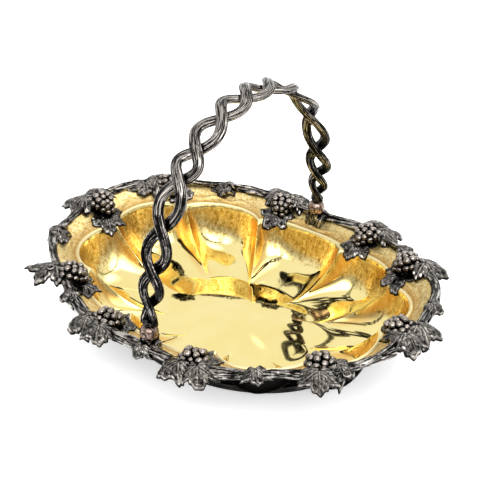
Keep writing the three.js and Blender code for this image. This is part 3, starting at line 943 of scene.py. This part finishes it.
def leafFaces(count, rings):
    # Rings round the stalk on the upper and the lower face, joined along the outline.
    faces = []
    layer, outline = (rings + 1) * count, rings * count
    for ring in range(rings):
        here, there = ring * count, (ring + 1) * count
        for i in range(count):
            j = (i + 1) % count
            face = (here + i, there + i, there + j, here + j)
            if ring == 0:
                face = face[:3]  # all the points of the first ring coincide
            faces += [face, tuple(layer + k for k in reversed(face))]
    for i in range(count):
        j = (i + 1) % count
        faces.append((outline + i, layer + outline + i, layer + outline + j, outline + j))
    return faces


def makeLeaf(name, base, heading, reach, width, pitch, curl, dome, seed, rests=False):
    rng = random.Random(seed)
    twist = rng.uniform(-leafForm["twist"], leafForm["twist"])
    wave = rng.uniform(0, math.tau)
    sideDroop = [rng.uniform(*leafForm["sideDroop"]) for _ in range(2)]
    count, rings = leafForm["angles"], leafForm["rings"]
    ahead = polar(1, heading, 0)
    across = Vector((-ahead.y, ahead.x, 0))
    slope, bend = math.radians(pitch), math.radians(curl)

    def bent(x, y, lift):
        # Along the midrib the blade turns down steadily, and its sides droop.
        local = slope - bend * max(x, leafForm["stalkBend"])
        run = (math.sin(slope) - math.sin(local)) / bend
        rise = (math.cos(local) - math.cos(slope)) / bend
        lift -= dome * (abs(y) * 2) ** leafForm["droopPower"] * sideDroop[0 if y > 0 else 1]
        out = run * reach - lift * math.sin(local)
        up = rise * reach + lift * math.cos(local)
        return base + ahead * out + across * (y * width) + Vector((0, 0, up))

    points, reliefAndShade = [], []
    for under, clearance in enumerate(leafForm["clearance"]):
        for ring in range(rings + 1):
            rho = (ring / rings) ** leafForm["ringCrowding"]
            roll = leafForm["edgeRoll"] * smoothstep(rho, *leafForm["edgeRollRange"])
            wavy = leafForm["wave"] * rho ** leafForm["wavePower"]
            thick = leafForm["thickness"] * (1 - leafForm["edgeThinning"] * rho)
            rim = leafTone["rim"] * band(rho, *leafTone["rimRange"])
            # Painted shade: the outermost edge of the blade is painted dark.
            edge = leafTone["edgeShade"] * smoothstep(rho, *leafTone["edgeRange"])
            for i in range(count):
                degrees = 360 * i / count
                turn = math.radians(degrees + twist * rho)
                radius = rho * leafOutline(degrees, seed)
                x, y = radius * math.cos(turn), radius * math.sin(turn)
                height, brightness = leafRelief(x, y, rho)
                dentPlace = Vector((x, y, 0)) * leafForm["dentScale"]
                dentPlace.z = seed * leafForm["dentStep"]
                dent = leafForm["dents"] * noise.noise(dentPlace)
                lift = height - roll + dent + wavy * math.sin(leafForm["waves"] * turn + wave)
                tone = min(leafTone["brightest"], leafTone["blade"] + brightness + rim) * (1 - edge)
                # The underside is painted near black: painted shade, with oxide.
                if under:
                    lift -= thick + height * leafForm["underRelief"]
                    tone = leafTone["under"]
                point = bent(leafForm["petiole"] + x, y, lift)
                if rests:
                    # The blade lies on the flange where it would sink into it.
                    ground = surfaceHeight(point.xy.length, math.atan2(point.y, point.x))
                    point.z = max(point.z, ground + clearance + (0 if under else height / 2))
                points.append(point)
                reliefAndShade.append(tone)
    made = meshObject(name, points, leafFaces(count, rings), leafSilver, reliefAndShade)
    cleanMesh(made)
    return made


# Bunches by their angle round the border, with each leaf's angle from outward, its reach in
# millimetres and, where it isn't the usual one, its curl.
clusters = [
    {"at": -2, "leaves": [(32, 27), (-32, 25), (-78, 20)]},
    {"at": 37.5, "leaves": [(-14, 27), (-113, 26)]},
    {"at": 63.5, "leaves": [(-8, 24), (50, 22.5), (-163, 23.5)]},
    {"at": 107, "leaves": [(38, 28), (-72, 20), (163, 23.5)]},
    {"at": 151, "leaves": [(78, 24), (-110, 20)]},
    {"at": 178.5, "leaves": [(28, 28), (-30, 24), (143, 26.5)]},
    {"at": 220.5, "leaves": [(-12, 31, 20), (110, 23)]},
    {"at": 249, "leaves": [(-20, 25), (48, 22), (143, 21)]},
    {"at": 290, "leaves": [(-45, 23.5), (18, 24), (105, 22)]},
    {"at": 330, "leaves": [(-25, 24), (63, 20)]},
]
bunchLeaf = {
    "aside": 5 * mm,  # how far along the vine an outward leaf starts from the bunch's middle
    "aboveVine": 2.4 * mm,
    "inset": 13 * mm,  # how far inside the vine an inward leaf starts
    "aboveFlange": 2.2 * mm,
    "outward": {"width": 25.5 * mm, "pitch": 2, "curl": 48, "dome": 5 * mm},
    "inward": {"width": 23 * mm, "pitch": -12, "curl": 14, "dome": 2.5 * mm, "rests": True},
}


def makeBunchLeaf(name, at, turn, reach, seed, curl=None):
    a = math.radians(at)
    outward = abs(turn) < 90
    blade = dict(bunchLeaf["outward" if outward else "inward"])
    if curl:
        blade["curl"] = curl
    if outward:
        shift = math.copysign(bunchLeaf["aside"], turn) / borderRadius(a)
        height = borderHeight(a) + border["vineRadius"] + bunchLeaf["aboveVine"]
        base = polar(borderRadius(a), a + shift, height)
    else:
        radius = borderRadius(a) - bunchLeaf["inset"]
        base = polar(radius, a, surfaceHeight(radius, a) + bunchLeaf["aboveFlange"])
    return makeLeaf(name, base, a + math.radians(turn), reach * mm, seed=seed, **blade)


for number, cluster in enumerate(clusters, 1):
    for letter, (turn, reach, *bend) in zip("abc", cluster["leaves"]):
        name = f"vineLeaf{number:02d}{letter}"
        piece = makeBunchLeaf(name, cluster["at"], turn, reach, number * 10 + ord(letter), *bend)
        stands(piece, "basket", "oxidised_silver", f"vine_leaf_{number:02d}_{letter}")
print("leaves made")


# Grape bunches
bunchForm = {
    "inset": 10 * mm,
    "lift": 2.2 * mm,
    "tilt": 20,
    "grapeRadius": 2.9 * mm,
    "grapeSizes": (0.88, 1.1),
    "uneven": 0.5,
    "rows": [  # distance inward, half a row's width, number of grapes, height, all in millimetres
        (-8.2, 5.9, 3, 0.0), (-3.6, 8.2, 4, 0.2), (1.2, 7.6, 4, 0.2), (5.6, 5.2, 3, -0.5),
        (9.2, 2.6, 2, -1.3), (-5.8, 3.2, 2, 3.9), (-1.2, 5.7, 3, 4.5), (3.4, 4.9, 3, 4.0),
        (7.0, 1.9, 2, 2.4),
    ],
    # Painted light and shade: each grape is painted brighter towards its top and darker below, along with the
    # wear of its top.
    "tone": (0.5, 0.46),  # what a grape's top adds to the relief of its middle, and that relief
}


def grapeTree():
    # One grape on each point of the bunch, slightly uneven in size.
    tree, inputs = startTree("grapeBunch", {"Grape Radius": "Float", "Seed": "Int", "Material": "Material"})
    height = heightOf(tree, addNode(tree, "GeometryNodeInputPosition").outputs[0])
    share = mathNode(tree, "DIVIDE", height, inputs["Grape Radius"])
    # Painted shade below each grape and painted light on its top, along with the top's wear.
    reliefAndShade = mathNode(tree, "MULTIPLY_ADD", share, *bunchForm["tone"])
    grape = keepField(tree, ball(tree, inputs["Grape Radius"], 3), "reliefAndShade", reliefAndShade)
    grapes = onPoints(tree, inputs["Geometry"], grape, inputs["Seed"], bunchForm["grapeSizes"])
    endTree(tree, grapes, inputs["Material"])
    return tree


grapeBunch = grapeTree()


def makeBunch(number, at):
    rng = random.Random(number)
    a = math.radians(at)
    tilt = math.radians(bunchForm["tilt"])
    centre = borderPoint(a, bunchForm["inset"], bunchForm["lift"])
    inward = polar(-math.cos(tilt), a, -math.sin(tilt))
    around = Vector((-math.sin(a), math.cos(a), 0))
    normal = around.cross(inward).normalized()
    points = []
    for inwards, half, count, height in bunchForm["rows"]:
        for i in range(count):
            side = half * (2 * i / (count - 1) - 1)
            uneven = [rng.uniform(-bunchForm["uneven"], bunchForm["uneven"]) for _ in range(3)]
            offset = inward * (inwards + uneven[0]) + around * (side + uneven[1])
            points.append(centre + (offset + normal * (height + uneven[2])) * mm)
    made = placed(f"grapeBunch{number:02d}", newMesh("bunchPoints", points))
    values = {"Grape Radius": bunchForm["grapeRadius"], "Seed": number, "Material": grapeSilver}
    return runTree(made, grapeBunch, values)


for number, cluster in enumerate(clusters, 1):
    stands(makeBunch(number, cluster["at"]), "basket", "oxidised_silver", f"grape_bunch_{number:02d}")
print("bunches made")


# Vine between the bunches, with the small leaves, tendrils and cut side branches that grow on it
vineBark = {
    "Sides": 30,
    "Grooves": 2.1,
    "Groove Depth": 0.7 * mm,
    "Groove Length": 20 * mm,
    "Knots": 900.0,
    "Knot Size": 1.0 * mm,
}
sideStemBark = {**vineBark, "Sides": 14, "Grooves": 1.2, "Knots": 0.0}
tendrilBark = {**vineBark, "Sides": 10, "Grooves": 0.8, "Groove Depth": 0.1 * mm, "Knots": 0.0}
vineForm = {
    "step": 1.1 * mm,
    "overlap": 1.5,  # how far each length runs on under a bunch, in degrees
    "thick": 3.1 * mm,
    "swell": 0.7 * mm,
    "swellLength": 9 * mm,
    "swellStep": 3.1,
    "endThickness": 0.55,  # a length is thinner at its ends, inside the bunches
    "endPoints": 6,
    "wander": (0.7 * mm, 11 * mm),  # to the side and up or down: how far, and over what length
    "wanderUp": (0.5 * mm, 14 * mm),
    "sideStem": 1.95 * mm,
    "sideStemSwell": 0.45 * mm,
    "sideStemOut": 3.1 * mm,
    "sideStemUp": 2.8 * mm,
    "sideStemLength": 30 * mm,
}
stemLeaf = {
    "angles": [13, 48, 130, 198, 231, 311],
    "inset": 3 * mm,
    "above": 0.3 * mm,
    "turn": 0,
    "blade": {"reach": 16 * mm, "width": 19 * mm, "pitch": 8, "curl": 62, "dome": 4 * mm},
}
flangeLeaf = {  # small leaves that lie on the flange: angle round the border, reach and width
    "places": [(131.5, 13.5, 18), (158.5, 16, 27), (199.5, 13.5, 18)],
    "inset": 0.5 * mm,
    "above": -0.4 * mm,
    "turn": 165,
    "blade": {"pitch": -14, "curl": 16, "dome": 2.5 * mm, "rests": True},
}
tendrils = [  # angle round the border, distance out from the vine, lift and outer radius of the coil
    {"at": 331.9, "out": 6.0, "lift": 4.5, "coil": 3.0},
    {"at": 333.8, "out": 9.5, "lift": 3.0, "coil": 3.0},
    {"at": 219.4, "out": 6.5, "lift": 6.0, "coil": 3.6},
]
tendrilForm = {
    "steps": 60,
    "turns": 1.75,
    "innerCoil": 0.7,
    "rise": (-0.6, 1.0),
    "radius": (0.85, 0.6),
}
stubs = [  # a cut side branch: its angles from root to end, distance out there and its half thickness
    {"at": 341, "to": 349, "out": 5.5, "thick": 3.1},
    {"at": 232.6, "to": 234.6, "out": 5.0, "thick": 3.4},
]
stubForm = {"steps": 16, "rise": 1.6, "root": 0.75}


def makeVineLeaf(name, angle, form, seed, **size):
    a = math.radians(angle)
    base = borderPoint(a, form["inset"], border["vineRadius"] + form["above"])
    return makeLeaf(name, base, a + math.radians(form["turn"]), seed=seed, **form["blade"], **size)


def makeTendril(at, out, lift, coil):
    middle = borderPoint(math.radians(at), -out * mm, lift * mm)
    points, sizes = [], []
    for k in range(tendrilForm["steps"] + 1):
        share = k / tendrilForm["steps"]
        turn = math.radians(at + 180) + math.tau * tendrilForm["turns"] * share
        radius = mix(coil, tendrilForm["innerCoil"], share) * mm
        points.append(middle + polar(radius, turn, mix(*tendrilForm["rise"], share) * mm))
        sizes.append((mix(*tendrilForm["radius"], share) * mm,) * 2)
    return barkPiece("tendril", points, sizes, tendrilBark, int(at))


def makeStub(at, to, out, thick):
    points, sizes = [], []
    for k in range(stubForm["steps"] + 1):
        share = k / stubForm["steps"]
        a = math.radians(mix(at, to, share))
        points.append(borderPoint(a, -out * share * mm, stubForm["rise"] * share * mm))
        sizes.append((mix(thick * stubForm["root"], thick, share) * mm,) * 2)
    return barkPiece("stub", points, sizes, vineBark, int(at) + 3)


def makeStems(number, start, end):
    # The main stem wanders along the border and a thin one winds round it.
    first, last = math.radians(start - vineForm["overlap"]), math.radians(end + vineForm["overlap"])
    length = (last - first) * borderRadius((first + last) / 2)
    count = int(length / vineForm["step"])
    phase = random.Random(100 + number).uniform(0, math.tau)
    aside, asideLength = vineForm["wander"]
    up, upLength = vineForm["wanderUp"]
    mainPath, mainSizes, sidePath, sideSizes = [], [], [], []
    for k in range(count + 1):
        a = mix(first, last, k / count)
        s = k * vineForm["step"]
        ends = min(1, vineForm["endThickness"] + min(k, count - k) / vineForm["endPoints"])
        swell = noise.noise(Vector((s / vineForm["swellLength"], number * vineForm["swellStep"], 0)))
        inset, lift = aside * math.sin(s / asideLength + phase), up * math.cos(s / upLength + phase)
        mainPath.append(borderPoint(a, inset, lift))
        mainSizes.append((ends * (vineForm["thick"] + vineForm["swell"] * swell),) * 2)
        turn = s / vineForm["sideStemLength"] + phase
        inset, lift = -vineForm["sideStemOut"] * math.cos(turn), vineForm["sideStemUp"] * math.sin(turn)
        sidePath.append(borderPoint(a, inset, lift))
        sideSizes.append((ends * (vineForm["sideStem"] + vineForm["sideStemSwell"] * swell),) * 2)
    return [
        barkPiece(f"vineBranch{number:02d}", mainPath, mainSizes, vineBark, number),
        barkPiece("sideStem", sidePath, sideSizes, sideStemBark, number + 40),
    ]


def makeVine(number, start, end):
    parts = makeStems(number, start, end)
    for angle in stemLeaf["angles"]:
        if start < angle < end:
            parts.append(makeVineLeaf("stemLeaf", angle, stemLeaf, int(angle)))
    for angle, reach, width in flangeLeaf["places"]:
        if start < angle < end:
            size = {"reach": reach * mm, "width": width * mm}
            parts.append(makeVineLeaf("innerStemLeaf", angle, flangeLeaf, int(angle) + 7, **size))
    for make, places in ((makeTendril, tendrils), (makeStub, stubs)):
        parts += [make(**place) for place in places if start < place["at"] < end]
    return joined(f"vineBranch{number:02d}", parts)


for number, cluster in enumerate(clusters, 1):
    following = clusters[number]["at"] if number < len(clusters) else clusters[0]["at"] + 360
    piece = makeVine(number, cluster["at"], following)
    stands(piece, "basket", "oxidised_silver", f"vine_branch_{number:02d}")
print("vine made")


# Handle
handle = {
    "pinHeight": 57.5 * mm,
    "span": 109.3 * mm,
    "rise": 147.5 * mm,
    "lean": 3,
    "width": (6.0 * mm, 8.5 * mm),  # at the pins, and once the strands have swelled
    "thickness": (4.3 * mm, 5.2 * mm),
    "swing": (3.9 * mm, 8.5 * mm),
    "lift": (2.3 * mm, 2.75 * mm),
    "swellLength": 56 * mm,
    "crossings": [-88, -77, -64, -49, -34.5, -24.5, -12, -1, 9.5, 24.5, 42, 60, 72.5, 82, 91],
    "startLoss": 8 * mm,
    "samples": 620,
    "fineSteps": 1440,
    "tangentStep": 0.01,
    "uneven": 0.05,
    "unevenLength": 12 * mm,
    "unevenStep": 5.0,
}
strandBark = {
    "Sides": 120,
    "Grooves": 6.6,
    "Groove Depth": 0.5 * mm,
    "Groove Length": 26 * mm,
    "Knots": 90.0,
    "Knot Size": 1.2 * mm,
}
leanTurn = Matrix.Rotation(math.radians(handle["lean"]), 4, "Y")
leaning = Matrix.Translation((0, 0, handle["pinHeight"])) @ leanTurn


def handlePoint(psi):
    middle, half = (handle["rise"] + handle["span"]) / 2, (handle["rise"] - handle["span"]) / 2
    radius = middle + half * math.cos(2 * psi)
    return Vector((0, radius * math.sin(psi), radius * math.cos(psi)))


def halfTurns(psi):
    # Half turns of the strands up to psi, in degrees: a whole number at each crossing.
    crossings = handle["crossings"]
    last = len(crossings) - 1
    k = max(i for i, angle in enumerate(crossings[:-1]) if angle <= psi)
    step = crossings[k + 1] - crossings[k]
    share = (psi - crossings[k]) / step
    start = 2 * step / (crossings[k + 1] - crossings[max(0, k - 1)])
    end = 2 * step / (crossings[min(last, k + 2)] - crossings[k])
    return k + share + share * (share - 1) * ((start - 1) * (share - 1) + (end - 1) * share)


def handleStations():
    # Evenly spaced distances along the handle's middle line, and the angle at each.
    fine = handle["fineSteps"]
    angles = [math.pi * (i / fine - 0.5) for i in range(fine + 1)]
    distances = [0.0]
    for before, after in zip(angles, angles[1:]):
        distances.append(distances[-1] + (handlePoint(after) - handlePoint(before)).length)
    length = distances[-1]
    stations, index = [], 1
    for k in range(handle["samples"] + 1):
        distance = mix(handle["startLoss"], length - handle["startLoss"], k / handle["samples"])
        while distances[index] < distance:
            index += 1
        share = (distance - distances[index - 1]) / (distances[index] - distances[index - 1])
        stations.append((distance, angles[index - 1] + share * math.pi / fine))
    return stations, length


def makeStrand(number, turnOffset):
    # A flat strand that swings across and passes over and under the other one, half a turn apart.
    stations, length = handleStations()
    points, sizes, ups = [], [], []
    across = Vector((1, 0, 0))
    near = handle["tangentStep"]
    for distance, psi in stations:
        swell = smoothstep(min(distance, length - distance), 0, handle["swellLength"])
        turn = math.pi * halfTurns(math.degrees(psi)) + turnOffset
        middle = handlePoint(psi)
        ahead = (handlePoint(psi + near) - handlePoint(psi - near)).normalized()
        outward = across.cross(ahead)
        if outward.dot(middle) < 0:
            outward.negate()
        swing = across * mix(*handle["swing"], swell) * math.sin(turn)
        rise = outward * mix(*handle["lift"], swell) * -math.cos(turn)
        points.append(leaning @ (middle + swing + rise))
        ups.append(leaning.to_3x3() @ outward)
        place = Vector((distance / handle["unevenLength"], number * handle["unevenStep"], 0))
        width = mix(*handle["width"], swell) * (1 + handle["uneven"] * noise.noise(place))
        sizes.append((width / 2, mix(*handle["thickness"], swell) / 2))
    return barkPiece(f"handleStrand{number}", points, sizes, strandBark, 60 + number, ups, handleSilver)


for number, offset in ((1, 0), (2, math.pi)):
    stands(makeStrand(number, offset), "handle", "handle_silver", f"handle_strand_{number}")
print("handle strands made")


# Hinges
hinge = {
    "ball": 7 * mm,
    "flat": 6.2 * mm,  # half the ball's length along the pin
    "ballEdge": 0.35 * mm,
    "edgeShare": 0.6,  # how much of that edge lies along the pin
    "tongue": 4.2 * mm,
    "gap": 0.3 * mm,
    "slotEase": 0.05 * mm,
    "pin": 1.25 * mm,
    "rivet": [(2.2, 0), (2.0, 0.4), (1.4, 0.8), (0.02, 0.9)],  # radius and distance past the ball, in mm
    "block": (16 * mm, 12 * mm, 10 * mm),
    "blockTop": 50.3 * mm,
    "webWidth": 9 * mm,
    "webDrop": 3 * mm,
    "neckWidth": 6.4 * mm,
    "neckLength": 8 * mm,
    "neckHeight": 5.6 * mm,
    "collar": 5.2 * mm,
    "collarFlatness": 0.52,
    "collarHeight": 9 * mm,
    "edge": 0.22,  # what the rounding takes of a box's smallest side
    "edgeSegments": 3,
    "castRoughness": 0.7 * mm,
    "grain": (900, 260, 260),
    "castTone": (0.55, 0.5),
    "steps": 64,
    "sliceSteps": 14,
    "collarSteps": 16,
    "tone": 0.75,
}
lugLeaf = {
    "inset": -1.6 * mm,
    "above": 1.2 * mm,
    "turn": 0,
    "blade": {"reach": 14 * mm, "width": 18 * mm, "pitch": -15, "curl": 55, "dome": 4 * mm},
}


def turned(name, profile, place, material):
    # A profile of (radius, distance along Y) turned about the Y axis.
    points = []
    for i in range(hinge["steps"]):
        turn = math.tau * i / hinge["steps"]
        for radius, along in profile:
            points.append(place @ Vector((radius * math.cos(turn), along, radius * math.sin(turn))))
    faces = ringFaces(hinge["steps"], len(profile), closed=True)
    made = meshObject(name, points, faces, material, [hinge["tone"]] * len(points))
    cleanMesh(made)
    return made


def ballSlice(name, low, high, place):
    # The part of the ball between two flats, with the pin's hole and small rounded edges.
    bore = hinge["pin"] + hinge["gap"]
    soft = hinge["ballEdge"]
    inset = soft * hinge["edgeShare"]

    def ballRadius(along):
        return math.sqrt(hinge["ball"] ** 2 - along ** 2)

    profile = [(bore, low), (ballRadius(low) - soft, low)]
    for k in range(hinge["sliceSteps"] + 1):
        along = mix(low + inset, high - inset, k / hinge["sliceSteps"])
        profile.append((ballRadius(along), along))
    profile += [(ballRadius(high) - soft, high), (bore, high)]
    return turned(name, profile, place, knuckleSilver)


def roundedBox(name, size, place, material, rough=0.0, levels=3):
    bpy.ops.mesh.primitive_cube_add(size=1)
    made = bpy.context.active_object
    made.name = name
    for vertex in made.data.vertices:
        vertex.co *= Vector(size)
    bevel = made.modifiers.new("edges", "BEVEL")
    bevel.width, bevel.segments = min(size) * hinge["edge"], hinge["edgeSegments"]
    divide = made.modifiers.new("round", "SUBSURF")
    divide.levels = divide.render_levels = levels
    bake(made)
    tones = []
    tone, toneSpread = hinge["castTone"]
    normals = [vertex.normal.copy() for vertex in made.data.vertices]
    for vertex, normal in zip(made.data.vertices, normals):
        grain = noise.noise(vertex.co * Vector(hinge["grain"]))
        vertex.co += normal * rough * grain
        tones.append(tone + toneSpread * grain)
    keepValues(made.data, "reliefAndShade", tones)
    made.data.materials.append(material)
    made.data.transform(place)
    made.data.polygons.foreach_set("use_smooth", [True] * len(made.data.polygons))
    return made


def makeLug(number, y, still):
    # Two cheeks of the ball on webs that stand on a block.
    inner = hinge["tongue"] / 2 + hinge["gap"] + hinge["slotEase"]
    webHeight = handle["pinHeight"] - hinge["blockTop"]
    parts = []
    for side in (-1, 1):
        low, high = sorted((side * inner, side * hinge["flat"]))
        parts.append(ballSlice("cheek", low, high, still))
        web = (hinge["webWidth"], hinge["flat"] - inner, webHeight)
        middle = still @ Matrix.Translation((0, (low + high) / 2, -webHeight / 2 - hinge["webDrop"]))
        parts.append(roundedBox("web", web, middle, barkSilver))
    middle = Matrix.Translation((0, y, hinge["blockTop"] - hinge["block"][2] / 2))
    parts.append(roundedBox("block", hinge["block"], middle, barkSilver, hinge["castRoughness"], 4))
    stands(joined(f"hingeLug{number}", parts), "basket", "oxidised_silver", f"hinge_lug_{number}")


def makeKnuckle(number, moving):
    # The tongue between the cheeks, a neck and the collar from which the strands grow.
    disc = ballSlice("tongue", -hinge["tongue"] / 2, hinge["tongue"] / 2, moving)
    middle = moving @ Matrix.Translation((0, 0, hinge["neckHeight"]))
    size = (hinge["neckWidth"], hinge["tongue"], hinge["neckLength"])
    neck = roundedBox("neck", size, middle, knuckleSilver)
    profile = []
    for k in range(hinge["collarSteps"] + 1):
        tilt = math.pi * (k / hinge["collarSteps"] - 0.5)
        half = hinge["collar"] * hinge["collarFlatness"] * math.sin(tilt)
        profile.append((hinge["collar"] * math.cos(tilt) + 1e-6, half))
    middle = moving @ Matrix.Translation((0, 0, hinge["collarHeight"]))
    collar = turned("collar", profile, middle @ Matrix.Rotation(math.pi / 2, 4, "X"), handleSilver)
    piece = joined(f"handleKnuckle{number}", [disc, neck, collar])
    stands(piece, "handle", "handle_silver", f"handle_knuckle_{number}")


def makePin(number, still):
    head = hinge["flat"] + hinge["gap"]
    half = [(hinge["pin"], head)] + [(radius * mm, head + past * mm) for radius, past in hinge["rivet"]]
    profile = [(radius, -along) for radius, along in reversed(half)] + half
    piece = turned(f"hingePin{number}", profile, still, knuckleSilver)
    stands(piece, "basket", "oxidised_silver", f"hinge_pin_{number}")


for number, side in ((1, 1), (2, -1)):
    y = side * handle["span"]
    still = Matrix.Translation((0, y, handle["pinHeight"]))
    makeLug(number, y, still)
    makeKnuckle(number, leaning @ Matrix.Translation((0, y, 0)))
    makePin(number, still)
    piece = makeVineLeaf(f"lugLeaf{number}", 90 * side, lugLeaf, 70 + number)
    stands(piece, "basket", "oxidised_silver", f"lug_leaf_{number}")
print("hinges made")


# Floor, light and camera
studio = {
    "floorSize": 6.0,
    "floorDrop": 0.2 * mm,
    "floorColour": (0.93, 0.93, 0.93, 1),
    "floorRoughness": 0.9,
    "floorGlow": 0.45,
    "tent": 1.0,  # brightness of the white tent all round
    "dimHeading": -54,  # behind the camera the tent is dim near the floor
    "dimSpread": (0.1, 0.7),
    "dimHeight": (0.65, 0.3),
    "dimLoss": 0.6,
    "glows": [  # heading round the basket, height above it, inner and outer angle, and added brightness
        (-72, 44, 10, 28, 2.7),
        (-20, 44, 8, 26, 2.9),
        (60, 62, 4, 24, 1.4),
        (124, 48.6, 0.3, 1.3, 0.7),
    ],
}
camera = {
    "azimuth": 36.14,
    "elevation": 33.27,
    "distance": 0.9775,
    "aim": (0, 0, 0.053),
    "sensor": 36,
    "focalPixels": 1256,
    "middlePixels": (239.1, 269.5),
    "imageSize": 480,
}


def makeFloor():
    material, _, shader = newMaterial("floorPale", metallic=0.0)
    shader.inputs["Base Color"].default_value = studio["floorColour"]
    shader.inputs["Roughness"].default_value = studio["floorRoughness"]
    shader.inputs["Emission Color"].default_value = white
    shader.inputs["Emission Strength"].default_value = studio["floorGlow"]
    size, z = studio["floorSize"], -studio["floorDrop"]
    corners = [(-size, -size, z), (size, -size, z), (size, size, z), (-size, size, z)]
    meshObject("floor", corners, [(0, 1, 2, 3)], material)


def makeLights():
    # A white tent with soft bright areas, which the camera itself sees as plain white.
    world = bpy.data.worlds.new("studio")
    world.use_nodes = True
    tree = world.node_tree
    direction = addNode(tree, "ShaderNodeTexCoord").outputs["Generated"]

    def nearness(heading, height):
        # The cosine of the angle from a direction of light.
        heading, height = math.radians(heading), math.radians(height)
        towards = polar(math.cos(height), heading, math.sin(height))
        return vectorNode(tree, "DOT_PRODUCT", direction, tuple(towards))

    behind = smoothMix(tree, nearness(studio["dimHeading"], 0), *studio["dimSpread"])
    dim = mathNode(tree, "MULTIPLY", behind, smoothMix(tree, heightOf(tree, direction), *studio["dimHeight"]))
    light = mathNode(tree, "MULTIPLY_ADD", dim, -studio["dimLoss"], studio["tent"])
    for heading, height, inner, outer, added in studio["glows"]:
        edges = math.cos(math.radians(outer)), math.cos(math.radians(inner))
        glow = smoothMix(tree, nearness(heading, height), *edges)
        light = mathNode(tree, "MULTIPLY_ADD", glow, added, light)
    seen = addNode(tree, "ShaderNodeLightPath").outputs["Is Camera Ray"]
    strength = addNode(tree, "ShaderNodeMix", {0: seen, 2: light, 3: 1.0}, data_type="FLOAT").outputs[0]
    back = tree.nodes["Background"]
    back.inputs["Color"].default_value = white
    tree.links.new(strength, back.inputs["Strength"])
    bpy.context.scene.world = world


def makeCamera():
    data = bpy.data.cameras.new("camera")
    holder = placed("camera", data)
    a, e = math.radians(camera["azimuth"]), math.radians(camera["elevation"])
    back = Vector((math.sin(a) * math.cos(e), -math.cos(a) * math.cos(e), math.sin(e)))
    holder.rotation_mode = "QUATERNION"
    holder.rotation_quaternion = (-back).to_track_quat("-Z", "Y")
    holder.location = Vector(camera["aim"]) + back * camera["distance"]
    size = camera["imageSize"]
    acrossPixels, downPixels = camera["middlePixels"]
    data.sensor_width = camera["sensor"]
    data.lens = camera["focalPixels"] / size * camera["sensor"]
    data.shift_x = (size / 2 - acrossPixels) / size
    data.shift_y = (downPixels - size / 2) / size
    bpy.context.scene.camera = holder


makeFloor()
makeLights()
makeCamera()
bpy.context.scene.view_settings.view_transform = "Standard"
print("stage ready")
